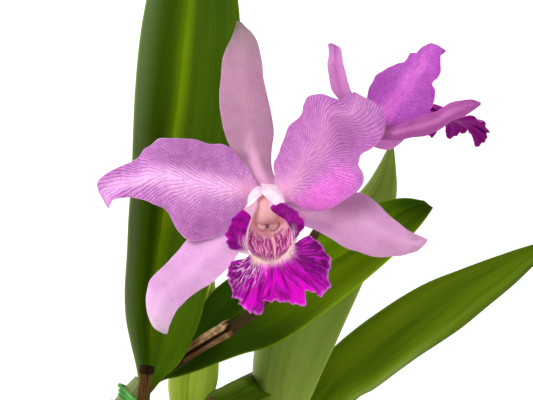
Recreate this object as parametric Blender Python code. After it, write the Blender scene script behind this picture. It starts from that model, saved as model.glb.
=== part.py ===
"""A cattleya orchid with two flowers, growing in a plain clay pot.

Three canes stand on a creeping rootstock that is rooted in coarse bark, and each carries two
leathery leaves. The front cane is tied to a stake and flowers from a papery sheath at its top.

Origin: the centre of the pot's underside. +Z is up, and the front flower faces -Y.
Sizes and places below are in millimetres, and become metres where each mesh is made.
"""

import math
import random

import bpy
import numpy as np
from mathutils import Euler

MM = 0.001
GAP = 0.4

POT_HEIGHT = 105.0
POT_RIM_RADIUS = 62.0
POT_BASE_RADIUS = 45.0
POT_WALL = 5.5
POT_FLOOR = 6.0
POT_BAND = 18.0
POT_BAND_STEP = 2.5
POT_EDGE = 1.5
POT_SIDES = 32
DRAIN_RADIUS = 5.0
DRAIN_REACH = 22.0

BARK_LEVEL = 94.0
CHIP_COUNT = 36
CHIP_RING = 42.5
CHIP_LENGTHS = (11, 17)
CHIP_WIDTHS = (7, 11)
CHIP_DEPTHS = (5, 8)
CHIP_TILT = 0.35

CANE_FOOT = 106.0
ROOTSTOCK_LEVEL = 99.5

LEAF_THICKNESS = 2.0
SEPAL_THICKNESS = 1.0
PETAL_THICKNESS = 0.8
LIP_THICKNESS = 0.8
SHEATH_THICKNESS = 0.6
LIP_ALONG = 20
LIP_ACROSS = 13
LIP_FRILLS = 2.5
LIP_FRILL_HEIGHT = 1.2

FRONT_HEART = (28.8, -35.0, 281.6)
BACK_HEART = (70.9, -18.0, 310.8)
BACK_FACING = (0.62, 0.505, 0.60)

GREEN = (0.05, 0.10, 0.01)
LIME = (0.26, 0.36, 0.04)
PINK = (0.75, 0.33, 0.70)
DUSTY_PINK = (0.58, 0.26, 0.50)
MAGENTA = (0.50, 0.01, 0.45)

# Each row of an outline is one crossing of the blade: left margin x, z, right margin x, z,
# the share of the width at which the midrib runs, and the depth y of left margin, midrib, right.
DORSAL_SEPAL = (
    (-2, 4, 2, 4, 0.5, 1.4, 1.4, 1.4),
    (-9, 12, 3, 11, 0.5, 4, 4, 4),
    (-15, 20, 2.5, 19, 0.5, 6, 5, 6),
    (-18, 28.5, 3, 27.5, 0.5, 6, 5, 7),
    (-19.5, 38.5, 1.5, 37.5, 0.5, 7, 5, 7),
    (-18, 57.5, -2, 57.5, 0.5, 7, 5, 7),
    (-14.5, 65, -4, 65.5, 0.5, 8, 7, 9),
    (-12.5, 73, -11.5, 73, 0.5, 12, 12, 12),
)
LEFT_PETAL = (
    (-4.3, -1.6, -4.6, 1.6, 0.5, 1.4, 1.4, 1.4),
    (-7.5, -4, -7, 8, 0.5, 0, -3, 0),
    (-11.5, -8, -10.5, 14, 0.5, 0, -7, 1),
    (-17, -13.5, -15.5, 19, 0.5, 2, -9, 3),
    (-24, -17.5, -23, 22.5, 0.5, 3, -10, 4),
    (-31, -18, -31.5, 24, 0.55, 3, -10, 4),
    (-37, -13.5, -39, 24, 0.55, 1, -9, 4),
    (-41, -6.5, -45, 23, 0.55, -2, -8, 3),
    (-49, -1.5, -52, 17, 0.5, -3, -5, 1),
    (-57, -0.5, -60, 12.5, 0.5, -2, -2, -1),
    (-62, -1, -69, 7.5, 0.5, 0, 2, 2),
    (-64, -3.5, -69.5, 2.5, 0.5, 3, 4, 4),
    (-65, -5, -66, -4.5, 0.5, 5, 6, 6),
)
RIGHT_PETAL = (
    (3.1, 2.4, 4, -0.6, 0.5, 1.5, 1.5, 1.5),
    (4.5, 8, 10.5, -2.5, 0.5, 1, -3, 0),
    (4, 13, 15.5, -4.5, 0.5, 1, -6, -2),
    (6, 20, 22, -5.5, 0.45, 2, -7, -4),
    (9.5, 27.5, 28.5, -4, 0.4, 3, -7, -7),
    (13.5, 34, 35, 1, 0.4, 3, -6, -9),
    (17, 41, 39, 8, 0.36, 0, -5, -6),
    (26.5, 41, 39.5, 17, 0.32, -2, -3, -1),
    (31, 39.5, 44, 20, 0.3, 0, -3, 0),
    (35, 42, 49, 31, 0.2, -1, -2, -1),
    (36, 42.5, 47, 37, 0.2, -1, -1, -2),
    (36.5, 42.8, 40.5, 40, 0.3, 0, -1, -1),
)
LEFT_SEPAL = (
    (-1, -5.5, -3.6, -3.2, 0.5, 1.5, 1.5, 1.5),
    (-4, -10.5, -10, -5, 0.5, 4, 3, 4),
    (-8.5, -18, -18.5, -8.5, 0.5, 6, 4, 8),
    (-12, -25, -26, -13.5, 0.5, 7, 4, 8),
    (-22.5, -35.5, -38, -24.5, 0.5, 6, 2, 6),
    (-34, -43.5, -47.5, -34.5, 0.5, 4, 0, 3),
    (-38.5, -51, -49.5, -43.5, 0.5, 4, 1, 4),
    (-40, -55, -46.5, -53.5, 0.5, 4, 3, 5),
    (-41, -57, -42, -57, 0.5, 6, 6, 6),
)
RIGHT_SEPAL = (
    (4, -2, 2.2, -4.5, 0.5, 1.6, 1.6, 1.6),
    (10, -2.5, 9.5, -9, 0.5, 4, 3, 4),
    (16, -2, 15.5, -12, 0.5, 6, 4, 5),
    (25, -1.5, 22, -15, 0.5, 8, 5, 4),
    (35, 0.5, 32.5, -21, 0.5, 8, 3, 3),
    (44.5, -1.5, 44.5, -25, 0.5, 6, -1, 2),
    (56.5, -12.5, 57, -24, 0.5, 1, -3, 0),
    (65, -17, 64, -20, 0.5, -4, -5, -5),
    (65.5, -17.5, 65.5, -18.5, 0.5, -6, -6, -6),
)
BACK_DORSAL_SEPAL = (
    (-3.8, 2.5, -1.8, 2.5, 0.5, -1.1, -2.3, -3.5),
    (-6.5, 8, -2.5, 8, 0.5, 3, 1, -2),
    (-11, 12, -5.5, 12, 0.5, 5, 1, -4),
    (-14.5, 18, -7.5, 17, 0.5, 6, 1, -6),
    (-16, 25.5, -9.5, 24.5, 0.5, 5, 0, -6),
    (-15.5, 30.5, -10.5, 29.5, 0.5, 4, -1, -6),
    (-16, 35, -15, 35, 0.5, 0, -1, -2),
)
BACK_NEAR_PETAL = (
    (0.9, 0.7, 2.5, -1.9, 0.5, -4.7, -4.2, -3.6),
    (0.5, 7, 8, 0, 0.5, -2, -4, -6),
    (0.5, 12, 14.5, 1.5, 0.5, 3, -4, -10),
    (2, 17, 19.5, 3.5, 0.5, 6, -6, -15),
    (4.5, 21, 24, 6, 0.5, 6, -8, -19),
    (10.5, 26, 26.5, 14, 0.5, 0, -15, -23),
    (16.5, 27.5, 27.5, 19.5, 0.5, -9, -20, -26),
    (23, 32.6, 29, 27.5, 0.5, -20, -26, -28),
    (29, 30, 30, 29, 0.5, -29, -29, -29),
)
BACK_FAR_PETAL = (
    (-4.3, 0.4, -2.8, -2.1, 0.5, 2, 2.6, 3.2),
    (-10, 6, -4.5, -4.5, 0.5, 3.5, 6.5, 8.5),
    (-16.5, 12, -6, -7, 0.5, 6, 11.5, 15),
    (-20.5, 13.5, -8, -9, 0.5, 11.5, 18, 22),
    (-23.5, 9.5, -13, -8, 0.5, 19.5, 25, 28),
    (-24.5, 6, -18, -4.5, 0.5, 26.5, 29.5, 31.5),
    (-24, 2.5, -23, 1, 0.5, 32, 32.5, 33),
)
BACK_NEAR_SEPAL = (
    (3, -2.9, 2.3, -4.5, 0.5, -2.9, -1.6, -0.2),
    (7.5, 0, 7, -6, 0.5, -9, -10, -8),
    (13, 0.5, 12.5, -6, 0.5, -15, -17, -13),
    (22, 3.5, 22.5, -5, 0.5, -24, -27, -23),
    (32, 8.5, 32, 0.5, 0.5, -28, -33, -30),
    (39.5, 9.5, 40, 4.5, 0.5, -34, -37, -36),
    (43, 8, 43, 7, 0.5, -39, -39, -39),
)
BACK_FAR_SEPAL = (
    (-2.3, -2.9, 0.2, -4.5, 0.5, 3.5, 2.9, 2.3),
    (3.5, -4.2, 3, -7.5, 0.5, 8, 8, 7.5),
    (8, -2.5, 8, -9, 0.5, 15, 14.5, 14),
    (13, -1, 13, -8.5, 0.5, 23, 21.5, 21),
    (19, 1, 19.5, -3.5, 0.5, 34, 31, 32),
    (21, 0.5, 21, -0.5, 0.5, 37, 37, 37),
)
FRONT_CANE_LEFT_LEAF = (
    (-28.5, 198.5, -23.5, 196, 0.5, -1.4, -1.4, -1.4),
    (-26.5, 204.5, -15.5, 204, 0.4, -4, -1.5, -4),
    (-27, 210, -9.8, 210, 0.27, -7, -1, -6.5),
    (-29.2, 224, -2.5, 224, 0.29, -10, 4, -6),
    (-30.5, 241.5, 3.5, 241, 0.31, -12, 8, -1),
    (-29.2, 273.5, 10.5, 273.5, 0.33, -9, 9, 3),
    (-27.8, 308, 15, 308.5, 0.37, -4, 9, 3),
    (-24.8, 343, 17.5, 343, 0.43, 0, 9, 3),
    (-20, 376, 14.5, 376.5, 0.47, 4, 11, 6),
    (-14, 400, 8, 400, 0.5, 10, 15, 12),
    (-4.5, 414, -1, 414, 0.5, 18, 19, 18),
)
FRONT_CANE_RIGHT_LEAF = (
    (-26, 202.2, -23, 199.7, 0.5, 7.4, 7.4, 7.4),
    (-19, 209, -14.5, 201.5, 0.55, 8, 9.5, 8),
    (-4.5, 224.5, 0, 205.5, 0.62, 8, 13, 7),
    (9.5, 243.5, 19.5, 213, 0.5, 5, 14, 4),
    (27, 253, 42.5, 222.5, 0.44, 5, 14, 3),
    (46, 262.5, 63.5, 237.5, 0.45, 7, 14, 5),
    (63.5, 272.5, 83, 254, 0.5, 9, 15, 7),
    (81.5, 280, 97, 269, 0.5, 11, 16, 11),
    (91, 281, 101.5, 274, 0.53, 13, 17, 14),
    (99, 280, 103, 276.5, 0.55, 17, 18, 17),
)
MIDDLE_CANE_LEFT_LEAF = (
    (-6, 170.9, -2.5, 170.9, 0.5, 24.5, 24.5, 24.5),
    (-12, 180, 0, 180, 0.45, 27, 30, 27),
    (-15.5, 193, 6, 193, 0.42, 29, 33, 29),
    (-14, 206.5, 7.5, 206.5, 0.42, 30, 34, 30),
    (-10, 216.5, 7.5, 216.5, 0.45, 31, 35, 31),
    (0, 235, 6, 235, 0.5, 35, 37, 35),
    (3.5, 244.5, 4.5, 244.5, 0.5, 39, 39, 39),
)
MIDDLE_CANE_RIGHT_LEAF = (
    (-1.5, 171.2, 2, 170.9, 0.5, 20.5, 20.5, 20.5),
    (1.5, 182, 7.5, 176, 0.5, 22, 24, 22),
    (7.5, 190, 15.5, 182, 0.55, 27, 30, 28),
    (14, 196.5, 24, 187, 0.6, 38, 42, 40),
    (22, 201.5, 34, 191, 0.6, 46, 50, 47),
    (33, 206, 44, 198, 0.55, 50, 54, 51),
    (50, 213.5, 52, 212.5, 0.5, 56, 56, 56),
)
REAR_CANE_LEFT_LEAF = (
    (30.5, 164, 34, 164, 0.5, 29, 29, 29),
    (26, 177.5, 43, 177.5, 0.3, 32, 28, 32),
    (23.5, 191, 50, 191, 0.22, 37, 28, 34),
    (23.5, 210.5, 59.5, 211, 0.23, 42, 30, 37),
    (35.5, 238.5, 72, 238.5, 0.27, 44, 34, 40),
    (57, 267, 84, 267, 0.3, 46, 38, 42),
    (75.5, 287.5, 89.5, 287.5, 0.3, 46, 41, 43),
    (85, 302.5, 88, 302.5, 0.4, 45, 44, 45),
    (86.5, 306, 87.5, 306, 0.5, 46, 46, 46),
)
REAR_CANE_RIGHT_LEAF = (
    (34.5, 164.2, 38, 163.8, 0.5, 33.8, 33.8, 33.8),
    (39.5, 176, 51, 168, 0.55, 43, 40, 45),
    (44.5, 188, 62.5, 178, 0.65, 52, 45, 54),
    (60, 209, 80.5, 190, 0.8, 62, 54, 66),
    (83.5, 227, 102, 204.5, 0.77, 66, 58, 70),
    (107, 241.5, 123, 219, 0.66, 66, 60, 68),
    (135, 252, 147, 239.5, 0.55, 66, 61, 67),
    (158.5, 259, 164.5, 255.5, 0.5, 66, 64, 66),
    (166, 260.5, 167.5, 259, 0.5, 66, 66, 66),
)
OLD_SHEATH = (
    (-0.6, 170.7, 2.6, 170.7, 0.5, 18.6, 18.2, 18.8),
    (0, 180, 5.5, 179.5, 0.5, 15.5, 14, 16),
    (2, 188, 6.5, 187.5, 0.5, 14, 12.5, 15),
    (4, 193, 6, 192.5, 0.5, 13, 12.5, 13.5),
)

# Each row of the lip is one crossing from the left margin over the left flank, the middle line
# and the right flank to the right margin: x, y, z from the flower's heart.
LIP = (
    ((-3.9, -0.3, 0.2), (-3.4, -0.4, -3.1), (0, -0.5, -4.4), (3.4, -0.4, -3.1), (3.9, -0.3, 0.2)),
    ((-1.2, -8, 4), (-6.8, -8, -1.5), (0, -8, -8.8), (6.8, -8, -1.5), (1.2, -8, 4)),
    ((-2, -17, 3), (-8.5, -18, -4), (1, -19, -13), (9, -18, -4), (1, -17, 3)),
    ((-5.5, -24, -3), (-10.5, -26, -10.5), (1.5, -28, -17.5), (12, -26, -8.5), (3.5, -24, -3)),
    ((-11.5, -30, -6.5), (-12, -30, -15.5), (2.5, -34, -22), (12.5, -31, -12.5), (10, -30, -4.5)),
    ((-15.5, -33, -16.5), (-9, -36, -20.5), (3, -40, -25.5), (11.5, -36, -17), (15, -33, -11)),
    ((-12.5, -38, -22.5), (-6, -42, -24), (3.5, -45, -28), (11.5, -42, -20), (14, -38, -15.5)),
    ((-14, -44, -26.5), (-6, -47, -27.5), (4, -49, -31.5), (14.5, -47, -23), (20.5, -43, -17.5)),
    ((-14.5, -48, -32.5), (-6, -51, -34), (4, -53, -35.5), (15, -52, -30), (24, -47, -26.5)),
    ((-11.5, -50, -39), (-4.5, -54, -39.5), (4, -55, -38.5), (14, -54, -35.5), (23.5, -49, -34.5)),
    ((-5.5, -50, -44), (-1.5, -53, -43), (4, -54, -40.5), (12.5, -53, -41), (19, -49, -38)),
)

# Each row of a stem is a point on its middle line and the radius there: x, y, z, radius. The
# sheath's start and end are places along the stalk, in rows.
COLUMN = (
    (0, 1.8, 0, 2.4),
    (0.2, -6, -1.2, 2.7),
    (0.8, -15, -4.5, 3.6),
    (1.6, -24, -9, 4.9),
    (1.9, -28, -11.5, 4.0),
)
ANTHER_CAP = (
    (2.0, -28.5, -11.9, 2.4),
    (2.1, -30.2, -13.0, 2.9),
    (2.1, -31.6, -14.2, 1.8),
)
FRONT_CANE = (
    (-18.6, 8, CANE_FOOT + GAP, 4.6),
    (-19.2, 8, 112, 4.8),
    (-27, 7.8, 128, 6.6),
    (-36, 7, 148, 7.8),
    (-38.6, 6, 168, 7.6),
    (-35.5, 5, 184, 6.4),
    (-29.5, 4.7, 194.5, 5.0),
    (-25, 4.5, 200.5, 4.2),
)
MIDDLE_CANE = (
    (-2, 15, CANE_FOOT + GAP, 4.6),
    (-2, 15, 112, 5.2),
    (-2.5, 17, 130, 7.4),
    (-2.5, 20, 150, 7.0),
    (-2, 22, 170, 4.4),
)
REAR_CANE = (
    (32.8, 20, CANE_FOOT + GAP, 4.6),
    (32.8, 20, 112, 5.0),
    (33.5, 23, 126, 7.0),
    (34.5, 28, 145, 6.8),
    (34.5, 31.5, 163, 4.4),
)
ROOTSTOCK = (
    (-31, 3, ROOTSTOCK_LEVEL, 3.6),
    (-18.6, 8, ROOTSTOCK_LEVEL, 4.6),
    (-2, 15, ROOTSTOCK_LEVEL, 4.6),
    (15, 19, ROOTSTOCK_LEVEL, 4.6),
    (32.8, 20, ROOTSTOCK_LEVEL, 4.6),
    (43, 18, ROOTSTOCK_LEVEL, 3.4),
)
ROOT_RADIUS = 2.0
ROOT_TIP_LEVEL = 87.0
ROOTS = (
    ((-26, 5), (-37, 16)),
    ((-14, 10), (-12, -7)),
    ((-9, 12), (-19, 27)),
    ((6, 17), (7, 1)),
    ((11, 18), (3, 34)),
    ((23, 20), (24, 4)),
    ((38, 19), (43, 4)),
    ((39, 18.5), (36, 31)),
)
STAKE = ((-35, -14, 80, 2.7), (-22.4, -14, 203, 2.7))
STAKE_RING = ((-22.3, -14, 203.4, 3.3), (-21.6, -14, 209.6, 3.3))
TIE_LEVEL = 189.0
TIE_RADIUS = 1.0
TIE_POINTS = 28
TIE_SIDES = 6
FLOWER_STALK = (
    (-23.9, 4.2, 201.9, 2.1),
    (-20.2, 3.9, 203.9, 2.3),
    (-12, 1.5, 207.8, 2.3),
    (0.4, -5, 216.3, 2.3),
    (14.3, -11, 225.4, 2.3),
    (23.3, -13, 232.4, 2.3),
    (36.8, -14, 246.9, 2.2),
    (50, -14, 266, 2.0),
    (60.1, -15, 282.1, 1.8),
    (64.3, -20, 295.6, 1.8),
    (65.3, -22.5, 305.4, 2.6),
    (67.8, -20.5, 307.8, 3.6),
    (69.5, -19.1, 309.5, 4.3),
)
FRONT_PEDICEL = (
    (36.8, -14, 246.9, 1.6),
    (39.5, -14, 254, 1.7),
    (35.6, -15, 265, 1.9),
    (31, -19, 277, 2.6),
    (28.8, -27, 281.4, 3.2),
    (28.8, -32.6, 281.6, 4.1),
)
SHEATH_START = 2.5
SHEATH_END = 4.0
SHEATH_FOOT_RADIUS = 2.95
SHEATH_MOUTH_RADIUS = 4.0
SHEATH_SPREAD = math.radians(125)


def material(name, colour, roughness):
    made = bpy.data.materials.new(name)
    made.use_nodes = True
    shader = made.node_tree.nodes["Principled BSDF"]
    shader.inputs["Base Color"].default_value = (*colour, 1.0)
    shader.inputs["Roughness"].default_value = roughness
    shader.inputs["Metallic"].default_value = 0.0
    return made


def mesh_object(name, points, faces, colour, roughness):
    """A smooth-shaded object of the points, given in millimetres, and faces, with its own material."""
    mesh = bpy.data.meshes.new(name)
    mesh.from_pydata((np.asarray(points) * MM).tolist(), [], [list(map(int, face)) for face in faces])
    mesh.materials.append(material(name + "_finish", colour, roughness))
    mesh.shade_smooth()
    made = bpy.data.objects.new(name, mesh)
    bpy.context.scene.collection.objects.link(made)
    return made


def through(rows, count):
    """Rows at even steps on the smooth curve that passes through the given rows, value by value."""
    rows = np.array(rows, float)
    ends = np.vstack([2 * rows[0] - rows[1], rows, 2 * rows[-1] - rows[-2]])
    place = np.linspace(0, len(rows) - 1, count)
    index = np.minimum(place.astype(int), len(rows) - 2)
    t = (place - index)[:, None]
    a, b, c, d = (ends[index + k] for k in range(4))
    square, cube = 2 * a - 5 * b + 4 * c - d, 3 * b - a - 3 * c + d
    return 0.5 * (2 * b + (c - a) * t + square * t**2 + cube * t**3)


def sheet(name, grid, thickness, colour, roughness):
    """A closed sheet: the grid of points, cut into triangles alike on both faces, given a thickness."""
    rows, columns = grid.shape[:2]
    corner = np.arange(rows * columns).reshape(rows, columns)
    a, b, c, d = corner[:-1, :-1], corner[:-1, 1:], corner[1:, 1:], corner[1:, :-1]
    faces = np.concatenate([np.stack([a, b, c], 2).reshape(-1, 3), np.stack([a, c, d], 2).reshape(-1, 3)])
    made = mesh_object(name, grid.reshape(-1, 3), faces, colour, roughness)
    wall = made.modifiers.new("thickness", "SOLIDIFY")
    wall.thickness = thickness * MM
    wall.offset = 0.0
    return made


def blade(name, outline, heart, thickness, colour, along=14, across=4, cup=1.5, waves=0, height=0.0):
    """A leaf, sepal or petal.

    Each crossing runs straight from the midrib to either margin in x and z, and its depth goes
    from the midrib's to the margin's by the distance from the midrib to the power cup. The
    margins wave in depth: height times a sine along the blade times that distance cubed.
    """
    rows = through(outline, along + 1)
    left_x, left_z, right_x, right_z, share, left_y, rib_y, right_y = (rows[:, k, None] for k in range(8))
    s = np.linspace(-1, 1, across + 1)[None, :]
    reach = np.abs(s)
    rib_x = left_x + share * (right_x - left_x)
    rib_z = left_z + share * (right_z - left_z)
    margin_x = np.where(s < 0, left_x, right_x)
    margin_z = np.where(s < 0, left_z, right_z)
    margin_y = np.where(s < 0, left_y, right_y)
    t = np.linspace(0, 1, along + 1)[:, None]
    wave = height * np.sin(2 * math.pi * waves * t + 2 * s) * reach**3 * np.sin(math.pi * t) ** 0.5
    x = rib_x + reach * (margin_x - rib_x)
    y = rib_y + reach**cup * (margin_y - rib_y) + wave
    z = rib_z + reach * (margin_z - rib_z)
    return sheet(name, np.stack([x, y, z], 2) + np.array(heart), thickness, colour, 0.5)


def rings(rows, count, angles):
    """Points round the curve through the rows, each row holding a point and a radius.

    Each ring lies square to the curve, and its first direction square to the plane that the
    curve lies nearest to.
    """
    rows = through(rows, count)
    path, radius = rows[:, :3], rows[:, 3]
    ahead = np.gradient(path, axis=0)
    ahead /= np.linalg.norm(ahead, axis=1)[:, None]
    plane = np.linalg.svd(path - path.mean(axis=0))[2][-1]
    second = np.cross(ahead, plane)
    second /= np.linalg.norm(second, axis=1)[:, None]
    first = np.cross(second, ahead)
    out = first[:, None] * np.cos(angles)[:, None] + second[:, None] * np.sin(angles)[:, None]
    return path[:, None] + radius[:, None, None] * out


def closed_tube(name, grid, colour, roughness):
    """Rings of points joined into one closed body with a flat cap on each end."""
    count, sides = grid.shape[:2]
    corner = np.arange(count * sides).reshape(count, sides)
    onward = np.roll(corner, -1, axis=1)
    walls = np.stack([corner[:-1], onward[:-1], onward[1:], corner[1:]], 2).reshape(-1, 4).tolist()
    points = grid.reshape(-1, 3)
    centre = grid[0].mean(axis=0)
    out = np.cross(grid[0][1] - grid[0][0], grid[1][0] - grid[0][0])
    faces = walls + [corner[0][::-1].tolist(), corner[-1].tolist()]
    if np.dot(out, grid[0][0] - centre) < 0:
        faces = [face[::-1] for face in faces]
    return mesh_object(name, points, faces, colour, roughness)


def stem(name, rows, colour, count=10, sides=8, roughness=0.5, grow=0.0):
    """A round stem along the rows; grow widens and lengthens it, for the hollow that it stands in."""
    wider = np.array(rows, float) + np.array((0, 0, 0, grow))
    for end, inner in ((0, 1), (-1, -2)):
        away = wider[end, :3] - wider[inner, :3]
        wider[end, :3] += grow * away / np.linalg.norm(away)
    angles = np.arange(sides) * 2 * math.pi / sides
    return closed_tube(name, rings(wider, count, angles), colour, roughness)


def turned(name, profile, sides, colour, roughness):
    """A body turned about the pot's axis from (radius, height) pairs, with flat caps at both ends."""
    angle = np.arange(sides) * 2 * math.pi / sides
    radius, level = np.array(profile, float).T
    x = radius[:, None] * np.cos(angle)
    y = radius[:, None] * np.sin(angle)
    z = np.broadcast_to(level[:, None], x.shape)
    return closed_tube(name, np.stack([x, y, z], 2), colour, roughness)


def combine(target, others, operation):
    """Joins the others to the target, or cuts them from it, and removes them."""
    group = bpy.data.collections.new(target.name + "_" + operation.lower())
    bpy.context.scene.collection.children.link(group)
    for other in others:
        group.objects.link(other)
    step = target.modifiers.new(operation.lower(), "BOOLEAN")
    step.operation = operation
    step.operand_type = "COLLECTION"
    step.collection = group
    graph = bpy.context.evaluated_depsgraph_get()
    result = bpy.data.meshes.new_from_object(target.evaluated_get(graph))
    target.modifiers.remove(step)
    target.data = result
    for other in others:
        bpy.data.objects.remove(other)
    bpy.data.collections.remove(group)
    return target


def turned_to_face(points, facing, heart):
    """Points of a flower that faces -Y, turned so that it faces the given way, and moved to its heart."""
    facing = np.array(facing) / np.linalg.norm(facing)
    up = np.array((0, 0, 1)) - facing[2] * facing
    up /= np.linalg.norm(up)
    side = np.cross(up, facing)
    points = np.asarray(points, float)
    return points[..., :1] * side - points[..., 1:2] * facing + points[..., 2:3] * up + np.array(heart)


def make_pot():
    base_inner = POT_BASE_RADIUS - POT_WALL
    rim_inner = POT_RIM_RADIUS - POT_WALL - POT_BAND_STEP
    band_bottom = POT_HEIGHT - POT_BAND
    profile = (
        (4, 0),
        (POT_BASE_RADIUS - 1, 0),
        (POT_BASE_RADIUS, 1),
        (POT_RIM_RADIUS - POT_BAND_STEP - 3, band_bottom),
        (POT_RIM_RADIUS - 1, band_bottom + POT_EDGE),
        (POT_RIM_RADIUS, POT_HEIGHT - POT_EDGE),
        (POT_RIM_RADIUS - POT_EDGE, POT_HEIGHT),
        (rim_inner + POT_EDGE, POT_HEIGHT),
        (rim_inner, POT_HEIGHT - POT_EDGE),
        (base_inner, POT_FLOOR),
        (4, POT_FLOOR),
    )
    pot = turned("pot", profile, POT_SIDES, (0.35, 0.12, 0.05), 0.85)
    drains = []
    for quarter in range(4):
        angle = math.radians(45 + 90 * quarter)
        x, y = DRAIN_REACH * math.cos(angle), DRAIN_REACH * math.sin(angle)
        rows = ((x, y, -5, DRAIN_RADIUS), (x, y, POT_FLOOR + 5, DRAIN_RADIUS))
        drains.append(stem("drain", rows, GREEN, count=2, sides=10))
    combine(pot, drains, "DIFFERENCE")


def inner_radius(level):
    """The pot's inner radius at a level, less the gap."""
    low = POT_BASE_RADIUS - POT_WALL
    high = POT_RIM_RADIUS - POT_WALL - POT_BAND_STEP
    share = (level - POT_FLOOR) / (POT_HEIGHT - POT_EDGE - POT_FLOOR)
    return low + share * (high - low) - GAP


def root_rows(start, end):
    """A root leaves the rootstock, arches over the bark and dives into it."""
    (x0, y0), (x1, y1) = start, end
    return (
        (x0, y0, ROOTSTOCK_LEVEL, ROOT_RADIUS),
        (x0 + 0.45 * (x1 - x0), y0 + 0.45 * (y1 - y0), ROOTSTOCK_LEVEL + 1.5, ROOT_RADIUS),
        (x0 + 0.92 * (x1 - x0), y0 + 0.92 * (y1 - y0), ROOTSTOCK_LEVEL - 2.5, ROOT_RADIUS),
        (x1, y1, ROOT_TIP_LEVEL, 0.8 * ROOT_RADIUS),
    )


def make_rootstock(name, grow):
    """The creeping stem with a round foot under each cane, and the roots that leave it."""
    body = stem(name, ROOTSTOCK, (0.22, 0.25, 0.08), count=12, sides=8, roughness=0.7, grow=grow)
    branches = [stem("root", root_rows(*ends), GREEN, count=7, sides=6, grow=grow) for ends in ROOTS]
    for cane in (FRONT_CANE, MIDDLE_CANE, REAR_CANE):
        x, y, top, radius = cane[0]
        rows = ((x, y, ROOTSTOCK_LEVEL, radius), (x, y, top - GAP, radius))
        branches.append(stem("foot", rows, GREEN, count=2, sides=8, grow=grow))
    return combine(body, branches, "UNION")


def bark_chip(number, draw):
    """One rough block of bark, tilted and half sunk in the level of the others."""
    distance = CHIP_RING * math.sqrt((number + 0.5) / CHIP_COUNT)
    angle = number * math.pi * (3 - math.sqrt(5))
    size = [draw.uniform(*span) for span in (CHIP_LENGTHS, CHIP_WIDTHS, CHIP_DEPTHS)]
    corners = np.array([(x, y, z) for z in (-1, 1) for x, y in ((-1, -1), (1, -1), (1, 1), (-1, 1))])
    corners = corners * np.array([[draw.uniform(0.75, 1.0) for _ in range(3)] for _ in range(8)])
    lean = Euler((draw.uniform(-CHIP_TILT, CHIP_TILT), 0, draw.uniform(0, math.pi))).to_matrix()
    rise = BARK_LEVEL + draw.uniform(-1, 1.5)
    place = np.array((distance * math.cos(angle), distance * math.sin(angle), rise))
    grid = (corners * size / 2 @ np.array(lean).T + place).reshape(2, 4, 3)
    return closed_tube("chip", grid, GREEN, 0.9)


def make_bark():
    """Coarse bark that fills the pot, with hollows for the rootstock, the roots and the stake."""
    floor = POT_FLOOR + GAP
    profile = (
        (inner_radius(floor) - 1, floor),
        (inner_radius(floor + 1), floor + 1),
        (inner_radius(BARK_LEVEL - 3), BARK_LEVEL - 3),
        (inner_radius(BARK_LEVEL) - 4, BARK_LEVEL),
    )
    bark = turned("bark", profile, POT_SIDES, (0.13, 0.06, 0.03), 0.95)
    draw = random.Random(7)
    combine(bark, [bark_chip(number, draw) for number in range(CHIP_COUNT)], "UNION")
    hollows = [make_rootstock("hollow", GAP), stem("hollow", STAKE, GREEN, count=2, sides=8, grow=GAP)]
    combine(bark, hollows, "DIFFERENCE")


def at_level(rows, level):
    """The row of a rising stem at a level, read straight between its two nearest rows."""
    rows = np.array(rows, float)
    return np.array([np.interp(level, rows[:, 2], column) for column in rows.T])


def make_tie():
    """A soft tie drawn round the front cane and the stake: the outline that holds two circles."""
    posts = np.array([at_level(rows, TIE_LEVEL) for rows in (FRONT_CANE, STAKE)])
    reach = posts[:, 3] + np.array((1.6, 0.0)) + GAP + TIE_RADIUS
    angle = np.linspace(0, 2 * math.pi, TIE_POINTS, endpoint=False)
    ways = np.stack([np.cos(angle), np.sin(angle)], 1)
    furthest = np.argmax(ways @ posts[:, :2].T + reach, axis=1)
    middle = posts[furthest, :2] + reach[furthest, None] * ways
    turn = np.arange(TIE_SIDES) * 2 * math.pi / TIE_SIDES
    out = ways[:, None] * (TIE_RADIUS * np.cos(turn))[None, :, None]
    level = np.broadcast_to(TIE_LEVEL + TIE_RADIUS * np.sin(turn), out.shape[:2])[..., None]
    grid = np.concatenate([middle[:, None] + out, level], 2)
    corner = np.arange(TIE_POINTS * TIE_SIDES).reshape(TIE_POINTS, TIE_SIDES)
    onward, up = np.roll(corner, -1, axis=0), np.roll(corner, -1, axis=1)
    faces = np.stack([corner, onward, np.roll(onward, -1, axis=1), up], 2).reshape(-1, 4)
    mesh_object("stake_tie", grid.reshape(-1, 3), faces, (0.10, 0.40, 0.07), 0.5)


def make_canes():
    canes = (("front_cane", FRONT_CANE), ("middle_cane", MIDDLE_CANE), ("rear_cane", REAR_CANE))
    for name, rows in canes:
        stem(name, rows, (0.17, 0.21, 0.03), count=12, sides=10, roughness=0.45)


def make_leaves():
    leaves = (
        ("front_cane_left_leaf", FRONT_CANE_LEFT_LEAF, GREEN, 18),
        ("front_cane_right_leaf", FRONT_CANE_RIGHT_LEAF, GREEN, 16),
        ("middle_cane_left_leaf", MIDDLE_CANE_LEFT_LEAF, LIME, 12),
        ("middle_cane_right_leaf", MIDDLE_CANE_RIGHT_LEAF, GREEN, 12),
        ("rear_cane_left_leaf", REAR_CANE_LEFT_LEAF, GREEN, 14),
        ("rear_cane_right_leaf", REAR_CANE_RIGHT_LEAF, GREEN, 14),
    )
    for name, outline, colour, along in leaves:
        blade(name, outline, (0, 0, 0), LEAF_THICKNESS, colour, along=along, across=6, cup=1.2)


def make_stake():
    stem("stake", STAKE, (0.20, 0.11, 0.05), count=2, sides=8, roughness=0.8)
    stem("stake_ring", STAKE_RING, (0.05, 0.03, 0.02), count=2, sides=8, roughness=0.6)


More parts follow.
